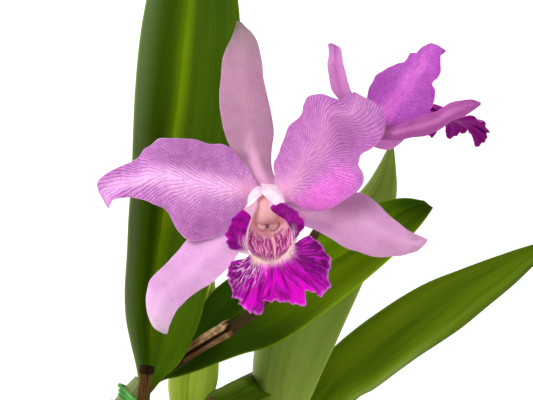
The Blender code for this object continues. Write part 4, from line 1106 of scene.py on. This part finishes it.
RIGHT_PETAL = (
    (3.6, 1.6, 5, -1.6, 0.5, -1, -1, -1),
    (3.2, 7.4, 9.8, -2.8, 0.5, 0, -4, -1),
    (3.2, 12.8, 15.6, -4.8, 0.5, 1, -6, -2),
    (5.8, 19.8, 22, -5.8, 0.45, 2, -7, -4),
    (9.4, 27.4, 28.4, -4, 0.4, 3, -7, -7),
    (13.6, 33.4, 34, 0, 0.4, 3, -6, -9),
    (15.6, 38.2, 38.4, 3.6, 0.38, 2, -5, -9),
    (17.6, 40.8, 39, 8.2, 0.36, 0, -5, -6),
    (22, 41.8, 37.8, 13, 0.34, -2, -4, -3),
    (26.6, 40.8, 39.2, 17, 0.32, -2, -3, -1),
    (30.8, 39.6, 43.8, 19.8, 0.3, 0, -3, 0),
    (33.6, 41.2, 48, 25, 0.25, -1, -3, 0),
    (35.2, 42.2, 49.2, 31.2, 0.2, -1, -2, -1),
    (35.8, 42.6, 47.4, 36.4, 0.15, -1, -1, -2),
    (36.2, 42.6, 41.4, 38.8, 0.3, 0, -1, -1),
)
PETAL_TONES = (
    (
        "front_left_petal", LEFT_PETAL, 4.0, 1.6,
        (
            ((202, 130, 194), (116, 44, 120), 0.8, 0.4, 0.2),
            ((236, 176, 230), (196, 110, 190), 0.62, 0.8, 0.14),
            ((204, 128, 196), (124, 48, 132), 0.14, 0.38, 0.16),
        ),
        ((0.6, 0.35, 0.3, 0.25, -1.5),),
        (250, 186, 226), (246, 190, 236), (220, 150, 214), (222, 160, 218), (202, 126, 194),
    ),
    (
        "front_right_petal", RIGHT_PETAL, 5.5, 1.5,
        (
            ((190, 116, 180), (140, 66, 146), 0.66, 0.58, 0.22),
            ((252, 138, 236), (186, 44, 172), 0.86, 0.28, 0.2),
        ),
        ((0.62, 0.28, 0.28, 0.15, 3.0), (-0.45, 0.6, 0.2, 0.3, -0.5)),
        (252, 188, 226), (218, 144, 200), (212, 138, 202), (212, 144, 204), (204, 122, 198),
    ),
)
for name, outline, seed, veins, flushes_and_painted_light, bulges, *tones in PETAL_TONES:
    skin = flesh_finish(name + "_skin", (*tones, (148, 66, 156)), veins, 0.85, 0.3, flushes_and_painted_light)
    tepal(name, outline, FRONT_HEART, PETAL_THICKNESS, skin, 0.5, 0.45, seed, bulges)

# The lips
# Each flower's third petal, rolled into a tube round the column: white-pink outside, cream and
# purple-veined in the throat. Its two side lobes and its broad frilled front are rich magenta.
LIP_COLUMNS = 161
LIP_TUBE_ROWS = 90
LIP_FRONT_ROWS = 80
LIP_THICKNESS = 0.5
LIP_REACH = 5.0
LIP_RUFFLES = 11
THROAT_GLOW = 0.3
# A row of LIP_TUBE is one crossing of the tube, as x, y, z of seven points from edge to edge. The
# front's rim and its shoulder, which it bends over, run from the same edge to the other.
LIP_TUBE = (
    ((-3.9, -0.3, 0.2), (-4.2, -0.35, -1.4), (-3.4, -0.4, -3.1), (0, -0.5, -4.4),
     (3.4, -0.4, -3.1), (4.2, -0.35, -1.4), (3.9, -0.3, 0.2)),
    ((0.6, -8, 3.9), (-4.6, -8, 3.0), (-6.8, -8, -2.2), (0, -8, -8.8),
     (6.8, -8, -2.2), (4.8, -8, 3.4), (-1.6, -8.3, 4.9)),
    ((0.2, -17, 2.2), (-4.0, -17, 1.6), (-6.9, -17, -5), (0.8, -17, -13),
     (7.0, -17, -4.5), (3.0, -17, 2.4), (-1.8, -17.4, 3.6)),
    ((-1.6, -20.5, 0.4), (-4.5, -20.5, -0.8), (-8, -20.5, -6.8), (1, -20.5, -15),
     (9.0, -20.5, -6.3), (2.7, -20.5, 0.2), (-1.7, -21, 1.2)),
    ((-6.4, -23.5, -3.7), (-3.6, -24, -4), (-9.5, -24, -9.3), (1.2, -24, -16.5),
     (10.8, -24, -8.5), (1.6, -23.5, -4.4), (3.2, -24.5, -3.4)),
    ((-10.3, -26, -6.1), (-5.4, -27, -8.4), (-10, -27, -12), (1.4, -27, -18),
     (11.5, -27, -11), (4.7, -26, -7.4), (6.3, -26.5, -2.6)),
    ((-13.1, -28.5, -8.6), (-6.6, -29.5, -12), (-10.4, -30, -15), (1.6, -30, -19.5),
     (12, -30, -13.5), (7.8, -28.5, -9.6), (9.8, -28.5, -4.4)),
    ((-15, -31, -13.2), (-7.2, -32, -15), (-9.8, -33, -18), (1.9, -33, -21),
     (11.8, -33, -16.2), (9.4, -31.5, -12.2), (13.1, -30.5, -7)),
    ((-15.6, -34, -16.4), (-7.5, -34.5, -17.6), (-8.5, -35.5, -20.5), (2.2, -35.5, -22.6),
     (11, -35.5, -18.6), (10, -34, -14.6), (14.8, -33, -11.2)),
    ((-13.4, -36.5, -20.8), (-6.8, -37, -20.8), (-6, -38, -22.3), (2.5, -38, -24.2),
     (9, -38, -21), (10.4, -37, -17.5), (12.9, -37, -15.3)),
    ((-6.4, -38, -22.3), (-5.6, -38.6, -22.9), (-3.2, -40, -24), (2.8, -41, -25.5),
     (7, -40.5, -22.8), (9.4, -39, -20), (10.8, -38, -18.4)),
)
LOBE_RIM = (
    (-8, -40, -24), (-10.7, -41.5, -24.6), (-12.9, -43, -25.1), (-14.2, -45, -26.7),
    (-14.4, -46, -29.3), (-14.2, -47.5, -32.3), (-13.2, -49, -34.8), (-12.4, -50, -37),
    (-12.8, -49, -38.6), (-10.5, -50, -39.1), (-8.6, -50.5, -39.6), (-9.4, -49, -41.2),
    (-7.5, -50, -43), (-5.6, -50.5, -43.9), (-3.8, -49, -44.6), (-1.5, -48, -44.7),
    (-1.1, -51, -41.4), (-0.5, -53, -39.2), (1.5, -52, -40.3), (3.8, -53.5, -39.4),
    (6, -52, -39.9), (8.6, -53, -40), (11.3, -51, -41.3), (13.9, -50, -41.1),
    (15.1, -50.5, -39.6), (14.8, -52.5, -36.3), (16.9, -51, -36), (18.8, -50, -36.1),
    (20.6, -47.5, -38.3), (22.7, -47, -37), (23.7, -47, -34.2), (23.8, -47.5, -31.5),
    (24.7, -45, -28.6), (24.3, -45.5, -25.5), (23, -44, -21.8), (21.2, -43, -18.4),
    (18.8, -42.5, -16.4), (16.2, -41.5, -15.6), (14.2, -40.5, -16), (12.5, -39.5, -17.2),
)
LOBE_SHOULDER = (
    (-7.4, -40.5, -23.8), (-10.7, -47, -28.5), (-6.7, -52, -33.1),
    (-1.5, -55, -35.9), (4.1, -56, -33.6), (11.2, -55.5, -33.3),
    (16.9, -53, -30.1), (17.8, -48, -20.9), (12.7, -40, -17.5),
)


def turned_to_face(points, facing, heart):
    """Points of a flower that faces -Y, turned so that it faces the given way, and moved to its heart."""
    facing = unit(np.array(facing, float))
    up = unit(np.array((0, 0, 1)) - facing[2] * facing)
    return np.asarray(points) @ np.stack([np.cross(up, facing), -facing, up]) + np.array(heart)


def lip_finish(name, outside, outside_deep):
    """The lip's skin. Its map place runs across, and along: 0 to 0.5 down the tube, to 1 at the rim.
    The throat floor glows with THROAT_GLOW, a share of its inner colour: painted light for the daylight that
    comes through the thin tube."""
    lip = Finish(name, **{**FLESH, "Specular_IOR_Level": 0.08}, Emission_Strength=THROAT_GLOW)
    across, along = lip.laid("place")
    behind = lip.node("ShaderNodeAttribute", {"attribute_name": "behind"}, {}, "Fac")
    aside = abs(across - 0.5) * 2.0
    wander = lip.noise(lip.spot(), 0.3, 3.0)
    fan = lip.fibre(across * 84.0 + wander * 3.0, along * 9.0, 3.0, 0.6)
    vein = lip.fibre(across * 96.0 + wander * 3.5, along * 7.0, 2.0, level=5.0)
    flame = lip.fibre(across * 20.0 + wander, along * 3.5, 3.0, 0.6, 9.0)
    throat = lip.mix(along.rise(0.1, 0.36), (222, 168, 178), (206, 152, 182))
    floor = (aside + wander * 0.1).rise(0.5, 0.36) * (along + vein * 0.1).rise(0.24, 0.32)
    throat = throat.coat(floor * 0.6, (192, 100, 148))
    throat = throat.coat(floor * vein.rise(0.45, 0.52) * 0.9, (126, 6, 96))
    throat = throat.coat(abs(across - 0.478).rise(0.009, 0.003) * 0.8, (224, 168, 162))
    front = lip.mix(flame.rise(0.42, 0.6), (214, 0, 192), (142, 0, 128))
    front = front.coat((aside + wander * 0.2).rise(0.4, 0.75) * 0.9, (98, 0, 90))
    front = front.coat(vein.rise(0.5, 0.57) * aside.rise(0.2, 0.5) * 0.5, (212, 26, 204))
    pale_reach = (along - across.rise(0.5, 0.85) * 0.24 - aside * 0.06).rise(0.72, 0.52)
    streaks = fan.rise(0.52, 0.57) * pale_reach * 0.85
    front = front.coat(streaks * (aside + along * 0.4).rise(0.36, 0.5), (246, 186, 230))
    front = front.coat((along + fan * 0.06).rise(1.0, 1.035) * 0.7, (232, 124, 226))
    tone = throat.coat((along + fan * 0.2).rise(0.62, 0.7), front)
    cream = (along + vein * 0.24).rise(0.58, 0.68) * (along - aside * 0.08 + fan * 0.3).rise(0.8, 0.7)
    tone = tone.coat(cream * fan.rise(0.3, 0.5) * 0.85, (240, 202, 200))
    yellow = cream * aside.rise(0.15, 0.3) * aside.rise(0.8, 0.55) * fan.rise(0.42, 0.58)
    tone = tone.coat(yellow * 0.5, (252, 236, 160))
    left = across.rise(0.5, 0.55)
    inner = left * 0.05 + 0.64 + (along - left * 0.035).rise(0.24, 0.2) * 0.34
    sides = (aside - inner).rise(0.0, 0.04) * along.rise(0.495, 0.47)
    wing = lip.mix(wander.rise(0.4, 0.6), (156, 0, 140), (112, 0, 102))
    wing_streak = fan.rise(0.46, 0.56) * (aside + fan * 0.2).rise(0.98, 0.8) * along.rise(0.36, 0.45)
    wing = wing.coat(wing_streak * 0.85, (250, 216, 214))
    wing = wing.coat(aside.rise(0.965, 1.0) * 0.7, (206, 70, 206))
    tone = tone.coat(sides, wing)
    # Painted highlight: a thin pale line along the fold between the throat and the side lobes.
    fold_highlight = aside.rise(0.58, 0.64) * (aside - inner).rise(0.02, 0.0) * along.rise(0.42, 0.36)
    tone = tone.coat(fold_highlight * 0.6, (226, 176, 206))
    hood = lip.mix(wander.rise(0.35, 0.7), outside, outside_deep)
    tone = tone.coat(behind, hood.coat(along.rise(0.46, 0.62), (132, 8, 120)))
    # Painted light: where the throat floor glows.
    lit = aside.rise(0.7, 0.64) * along.rise(0.46, 0.4) * behind.rise(0.6, 0.4)
    lip.give(lip.shader.inputs["Emission Color"], lip.mix(lit, (0, 0, 0), tone))
    return lip.surface(tone, 0.42 + fan * 0.2, fan * 0.7 + wander * 0.3, 0.22)


def rolled_lip(prefix, facing, heart, finish):
    """The tube's rows, then a sheet that leaves its mouth along the tube and bends down to the rim:
    each line of it is a cubic Bezier from the mouth, by LIP_REACH ahead and the shoulder, to the rim.
    The tube's edges are jagged and crinkled, and the front is ragged at its rim, frilled and folded,
    each by sums of sines of the place that fade in toward the edge."""
    tube = through(through(LIP_TUBE, LIP_TUBE_ROWS).transpose(1, 0, 2), LIP_COLUMNS).transpose(1, 0, 2)
    ahead = unit(tube[-1] - tube[-6])
    t, s = across_and_along(LIP_FRONT_ROWS + 1, LIP_COLUMNS)
    t = t[1:, :, None]
    mouth, shoulder, rim = tube[-1], through(LOBE_SHOULDER, LIP_COLUMNS), through(LOBE_RIM, LIP_COLUMNS)
    reach = LIP_REACH * (1 - s**6)[..., None]
    apron = (1 - t) ** 3 * mouth + 3 * (1 - t) ** 2 * t * (mouth + reach * ahead)
    apron = apron + 3 * (1 - t) * t**2 * shoulder + t**3 * rim
    grid = np.concatenate([tube, apron])
    v = np.concatenate([np.linspace(0, 0.5, LIP_TUBE_ROWS), 0.5 + 0.5 * t.ravel()])[:, None]
    front = np.clip(2 * v - 1, 0, 1)
    edge = np.clip((np.abs(s) - 0.75) / 0.25, 0, 1) * (v < 0.5) * np.clip(v / 0.18 - 1, 0, 1)
    jag = 0.25 * np.sin(95 * v + 2 * s) + 0.2 * np.sin(171 * v)
    wing = np.where(s < 0, -1, 1)[..., None] * np.gradient(grid, axis=1) * 6
    grid = grid + (jag * edge**2)[..., None] * wing
    rim_fade = 1 - np.clip((np.abs(s) - 0.7) / 0.3, 0, 1) ** 2
    ragged = 0.35 * np.sin(37 * s) + 0.3 * np.sin(71 * s + 1) + 0.3 * np.sin(113 * s + 2)
    grid = grid + (ragged * front**8 * rim_fade)[..., None] * unit(np.gradient(grid, axis=0))
    frill = (0.6 * np.sin(math.pi * LIP_RUFFLES * s + 5 * v) + 0.4 * np.sin(53 * s)) * front**2 * rim_fade
    folds = 0.12 * np.sin(60 * s + 9 * np.sin(3 * s)) * front**0.5
    crinkle = 0.6 * np.sin(60 * v + 3 * s) * edge
    grid = grid + (frill + folds + crinkle)[..., None] * normals(grid)
    grid = turned_to_face(grid[:, ::-1], facing, heart)
    blade(prefix + "_lip_blade", grid, LIP_THICKNESS, finish, prefix + "_lip")


lip_skin = lip_finish("front_lip_skin", (255, 232, 244), (250, 206, 230))
rolled_lip("front", (0, -1, 0), FRONT_HEART, lip_skin)

# The columns
# The waxy club in the throat that carries the pollen, pale pink outside and buff beneath, with a
# loose two-lobed cap across its tip and a dark mark between the lobes, painted shade where its hollow opens.
COLUMN_STEPS = 80
COLUMN_SIDES = 48
COLUMN_WIDTH = 1.45
CAP_SIDES = 32
CAP_RADIUS = 1.0
# Painted light: the column glows with this share of its colour, for daylight that comes through the wax.
COLUMN_GLOW = 0.3
COLUMN = (
    (0, 1.8, 0, 2.4),
    (0.2, -6, -1.2, 2.7),
    (-0.4, -14, -2.6, 3.4),
    (-0.6, -18.6, -5.2, 3.8),
    (0.3, -21.8, -8.9, 4.1),
    (0.9, -23.8, -11.2, 3.9),
)
CAP_BENDS = (
    (-3.5, -25.2, -10.6), (-1.5, -26.4, -12.8), (0.7, -26.8, -11.7), (3, -26.4, -12.8),
    (5.4, -25.2, -10.4),
)
column = Finish("column_wax", **FLESH, Emission_Strength=COLUMN_GLOW)
around, length = column.laid("along")
mottle = column.noise(column.spot(), 0.7, 3.0)
tone = column.mix(mottle.rise(0.35, 0.65), (204, 148, 142), (216, 162, 158))
tone = tone.coat(abs(around - 0.75).rise(0.12, 0.24) * 0.8, (222, 170, 178))
tone = tone.coat(length.rise(20.0, 28.0) * 0.6, (182, 128, 124))
# Painted light: the column glows in its own colour.
column.give(column.shader.inputs["Emission Color"], tone)
column_finish = column.surface(tone, 0.4 + mottle * 0.15, mottle, 0.3)
cap = Finish("anther_cap_wax", **FLESH)
mottle = cap.noise(cap.spot(), 0.9, 3.0)
apart = abs(cap.laid("along")[1] - 5.6)
tone = cap.mix(mottle.rise(0.35, 0.65), (192, 142, 140), (206, 156, 154))
# Painted shade: a dark mark between the lobes, where the hollow opens.
tone = tone.coat(apart.rise(1.0, 0.4) * 0.9, (112, 24, 70))
tone = tone.coat(apart.rise(4.0, 5.4) * 0.7, (150, 84, 84))
cap_finish = cap.surface(tone, 0.42 + mottle * 0.1, mottle, 0.25)


def centre(prefix, facing, heart):
    """The column, each ring an ellipse wider than high, and the two-lobed cap across its tip."""
    stem = through(COLUMN, COLUMN_STEPS)
    angles = np.linspace(0, FULL_TURN, COLUMN_SIDES + 1)
    t = np.linspace(0, 1, COLUMN_STEPS)[:, None]
    end = np.sqrt(np.clip(1 - t**10, 0, 1)) * 0.75 + 0.25
    wide = 1 + (COLUMN_WIDTH - 1) * t**0.15
    radius = stem[:, 3:] * end * wide / np.hypot(np.cos(angles), wide * np.sin(angles))
    club = rod(turned_to_face(stem[:, :3], facing, heart), radius, COLUMN_SIDES)
    piece(prefix + "_column_club", [club], column_finish, [prefix + "_column"])
    lobes = CAP_RADIUS * (0.8 + 0.4 * np.abs(np.sin(FULL_TURN * t))) * np.sqrt(1.02 - (2 * t - 1) ** 8)
    lobed = rod(turned_to_face(through(CAP_BENDS, COLUMN_STEPS), facing, heart), lobes, CAP_SIDES)
    piece(prefix + "_pollen_cap", [lobed], cap_finish, [prefix + "_anther_cap"])


centre("front", (0, -1, 0), FRONT_HEART)

# The back flower
# The second flower faces away to the right, so its petals are seen from their backs: deeper
# mauve-pink than the first, its lip mostly hidden but for a corner of magenta.
BACK_HEART = (70.9, -18.0, 310.8)
BACK_FACING = (0.62, 0.505, 0.60)
DORSAL_SEPAL_2 = (
    (-3.8, 2.5, -1.8, 2.5, 0.5, -1.1, -2.3, -3.5),
    (-6.5, 8, -2.5, 8, 0.5, 3, 1, -2),
    (-11.2, 12.2, -5.4, 11.8, 0.5, 5, 1, -5),
    (-14, 16, -6.8, 15.2, 0.5, 6, 1, -6),
    (-15, 20.2, -8.2, 19.4, 0.5, 6, 1, -6),
    (-16, 25.8, -9.6, 24.8, 0.5, 5, 0, -6),
    (-15.4, 30.4, -10.4, 29.4, 0.5, 4, -1, -6),
    (-15.6, 33, -11.2, 32.8, 0.5, 2, -2, -5),
    (-16, 35, -15, 35.2, 0.5, 0, -1, -2),
)
NEAR_PETAL_2 = (
    (0.9, 0.7, 2.5, -1.9, 0.5, -4.7, -4.2, -3.6),
    (0.5, 7, 8.4, -0.8, 0.5, -2, -4, -6),
    (0.5, 12, 15, 0.4, 0.5, 3, -4, -10),
    (1.8, 17, 20.4, 2.2, 0.5, 8, -5, -15),
    (4.4, 21.2, 24.6, 5.2, 0.5, 7, -8, -19),
    (7.4, 24.2, 26.2, 10, 0.5, 4, -12, -21),
    (10.6, 26, 26.6, 13.8, 0.5, 0, -15, -23),
    (14.4, 26.4, 26, 17, 0.5, -4, -18, -24),
    (16.4, 27.4, 27.8, 19.8, 0.5, -9, -20, -26),
    (17.2, 30, 28.2, 23.2, 0.5, -12, -22, -27),
    (19.8, 30, 28.4, 26.4, 0.5, -16, -24, -28),
    (22.8, 32, 29.2, 28, 0.5, -20, -26, -28),
    (25.2, 32.8, 30, 28.8, 0.5, -24, -27, -28),
    (29, 30, 30.2, 29.2, 0.5, -29, -29, -29),
)
NEAR_LATERAL_SEPAL_2 = (
    (3, -2.9, 2.3, -4.5, 0.5, -2.9, -1.6, -0.2),
    (7.8, 0, 7, -5.8, 0.5, -9, -10, -8),
    (13, 0.4, 12.4, -6, 0.5, -15, -17, -13),
    (17.4, 2.2, 17.6, -5.2, 0.5, -20, -22, -18),
    (21.8, 3.6, 22.4, -4.8, 0.5, -24, -27, -23),
    (27.4, 5.4, 27.2, -2.8, 0.5, -26, -30, -27),
    (32, 8.2, 32, 0.6, 0.5, -28, -33, -30),
    (35.6, 9, 36.6, 2.4, 0.5, -31, -35, -33),
    (39.6, 9.2, 40, 4.6, 0.5, -34, -37, -36),
    (42.8, 7.8, 42.8, 6.8, 0.5, -39, -39, -39),
)
FAR_LATERAL_SEPAL_2 = (
    (-2.3, -2.9, 0.2, -4.5, 0.5, 3.5, 2.9, 2.3),
    (3.5, -4.2, 3, -7.5, 0.5, 8, 8, 7.5),
    (8, -2.5, 8, -9, 0.5, 15, 14.5, 14),
    (13, -1, 13, -8.5, 0.5, 23, 21.5, 21),
    (19, 1, 19.5, -3.5, 0.5, 34, 31, 32),
    (21, 0.5, 21, -0.5, 0.5, 37, 37, 37),
)
FAR_PETAL_2 = (
    (-4.3, 0.4, -2.8, -2.1, 0.5, 2, 2.6, 3.2),
    (-10, 6, -4.5, -4.5, 0.5, 3.5, 6.5, 8.5),
    (-16.5, 12, -6, -7, 0.5, 6, 11.5, 15),
    (-20.5, 13.5, -8, -9, 0.5, 11.5, 18, 22),
    (-23.5, 9.5, -13, -8, 0.5, 19.5, 25, 28),
    (-24.5, 6, -18, -4.5, 0.5, 26.5, 29.5, 31.5),
    (-24, 2.5, -23, 1, 0.5, 32, 32.5, 33),
)
BACK_TONES = (
    ("back_dorsal_sepal", DORSAL_SEPAL_2, "sepal", (210, 124, 196), (208, 130, 198), 0.2, 1.0),
    ("back_near_sepal", NEAR_LATERAL_SEPAL_2, "sepal", (194, 114, 176), (178, 84, 160), 0.3, 2.5),
    ("back_far_sepal", FAR_LATERAL_SEPAL_2, "sepal", (200, 108, 184), (196, 112, 180), 0.2, 3.5),
    ("back_near_petal", NEAR_PETAL_2, "petal", (226, 118, 218), (194, 96, 198), 0.7, 4.5),
    ("back_far_petal", FAR_PETAL_2, "petal", (226, 130, 218), (210, 112, 208), 0.75, 6.5),
)
BACK_KINDS = {"sepal": (SEPAL_THICKNESS, 20.0, 0.06, 0.05), "petal": (PETAL_THICKNESS, 1.2, 0.35, 0.2)}
for name, outline, slot, base, body, share, seed in BACK_TONES:
    thickness, veins, ruffle, folds = BACK_KINDS[slot]
    tones = (base, base, body, body, (176, 74, 178), (132, 30, 142))
    skin = flesh_finish(name + "_skin", tones, veins, share, share * 0.6, straight=slot == "sepal")
    tepal(name, outline, BACK_HEART, thickness, skin, ruffle, folds, seed)
lip_skin = lip_finish("back_lip_skin", (190, 60, 180), (140, 14, 130))
rolled_lip("back", BACK_FACING, BACK_HEART, lip_skin)
centre("back", BACK_FACING, BACK_HEART)

# The floor, the backdrop and the lights
# A photographer's white card that runs flat under the pot and curves up behind the plant. One soft
# lamp lights the plant from the upper left in front, and a weaker one from the right. Two more light
# the card, and the sky is white.
CARD_WIDTH = 4000.0
CARD_BACK = 900.0
CARD_FRONT = -1400.0
CARD_BEND = 500.0
CARD_TOP = 2200.0
SKY_LIGHT = 0.42
# A lamp's place, the point that it is aimed at and its width, all in metres, and then its watts.
LAMPS = (
    ("key_lamp", (-0.75, -1.1, 1.15), (0.02, -0.02, 0.25), 0.8, 17.0),
    ("fill_lamp", (1.3, -0.9, 0.6), (0.02, -0.02, 0.25), 0.9, 5.0),
    ("left_card_lamp", (-1.1, 0.25, 0.5), (0.1, 0.9, 0.4), 0.6, 8.0),
    ("right_card_lamp", (1.2, 0.25, 0.5), (-0.05, 0.9, 0.4), 0.6, 8.0),
)
card = Finish("studio_card")
tooth = card.noise(card.spot(), 0.06, 3.0)
card_tone = card.mix(tooth, (243, 243, 243), (249, 249, 249))
card_finish = card.surface(card_tone, 0.9 + tooth * 0.05, tooth, 0.05)
bend = np.linspace(0, math.pi / 2, 25)
curve = np.stack([CARD_BACK - CARD_BEND + CARD_BEND * np.sin(bend), CARD_BEND * (1 - np.cos(bend))], 1)
profile = np.vstack([[(CARD_FRONT, 0)], curve, [(CARD_BACK, CARD_TOP)]])
margins = np.array((-CARD_WIDTH / 2, CARD_WIDTH / 2))
sheet = np.stack(np.broadcast_arrays(margins, profile[:, :1], profile[:, 1:]), 2)
mesh = bpy.data.meshes.new("backdrop_card")
mesh.from_pydata((sheet.reshape(-1, 3) * MM).tolist(), [], triangles(*sheet.shape[:2]).tolist())
mesh.shade_smooth()
mesh.materials.append(card_finish)
backdrop = bpy.data.objects.new("backdrop_card", mesh)
bpy.context.scene.collection.objects.link(backdrop)
world = bpy.data.worlds.new("studio_sky")
world.use_nodes = True
sky = world.node_tree.nodes["Background"].inputs
sky["Color"].default_value = (1.0, 1.0, 1.0, 1.0)
sky["Strength"].default_value = SKY_LIGHT
bpy.context.scene.world = world
for name, stand, aim, size, watts in LAMPS:
    lamp = bpy.data.lights.new(name, "AREA")
    lamp.shape = "SQUARE"
    lamp.size = size
    lamp.energy = watts
    holder = bpy.data.objects.new(name, lamp)
    holder.location = stand
    toward = mathutils.Vector(aim) - holder.location
    holder.rotation_euler = toward.to_track_quat("-Z", "Y").to_euler()
    bpy.context.scene.collection.objects.link(holder)
bpy.context.scene.view_settings.view_transform = "Standard"

# The camera
# It stands level with the flowers, as in the photograph, and looks straight along Y.
CAMERA_PLACE = (29, -642, 280)
lens = bpy.data.cameras.new("photographer")
lens.lens = 100.0
lens.sensor_width = 36.0
camera = bpy.data.objects.new("photographer", lens)
camera.location = [length * MM for length in CAMERA_PLACE]
camera.rotation_euler = (math.pi / 2, 0, 0)
bpy.context.scene.collection.objects.link(camera)
bpy.context.scene.camera = camera
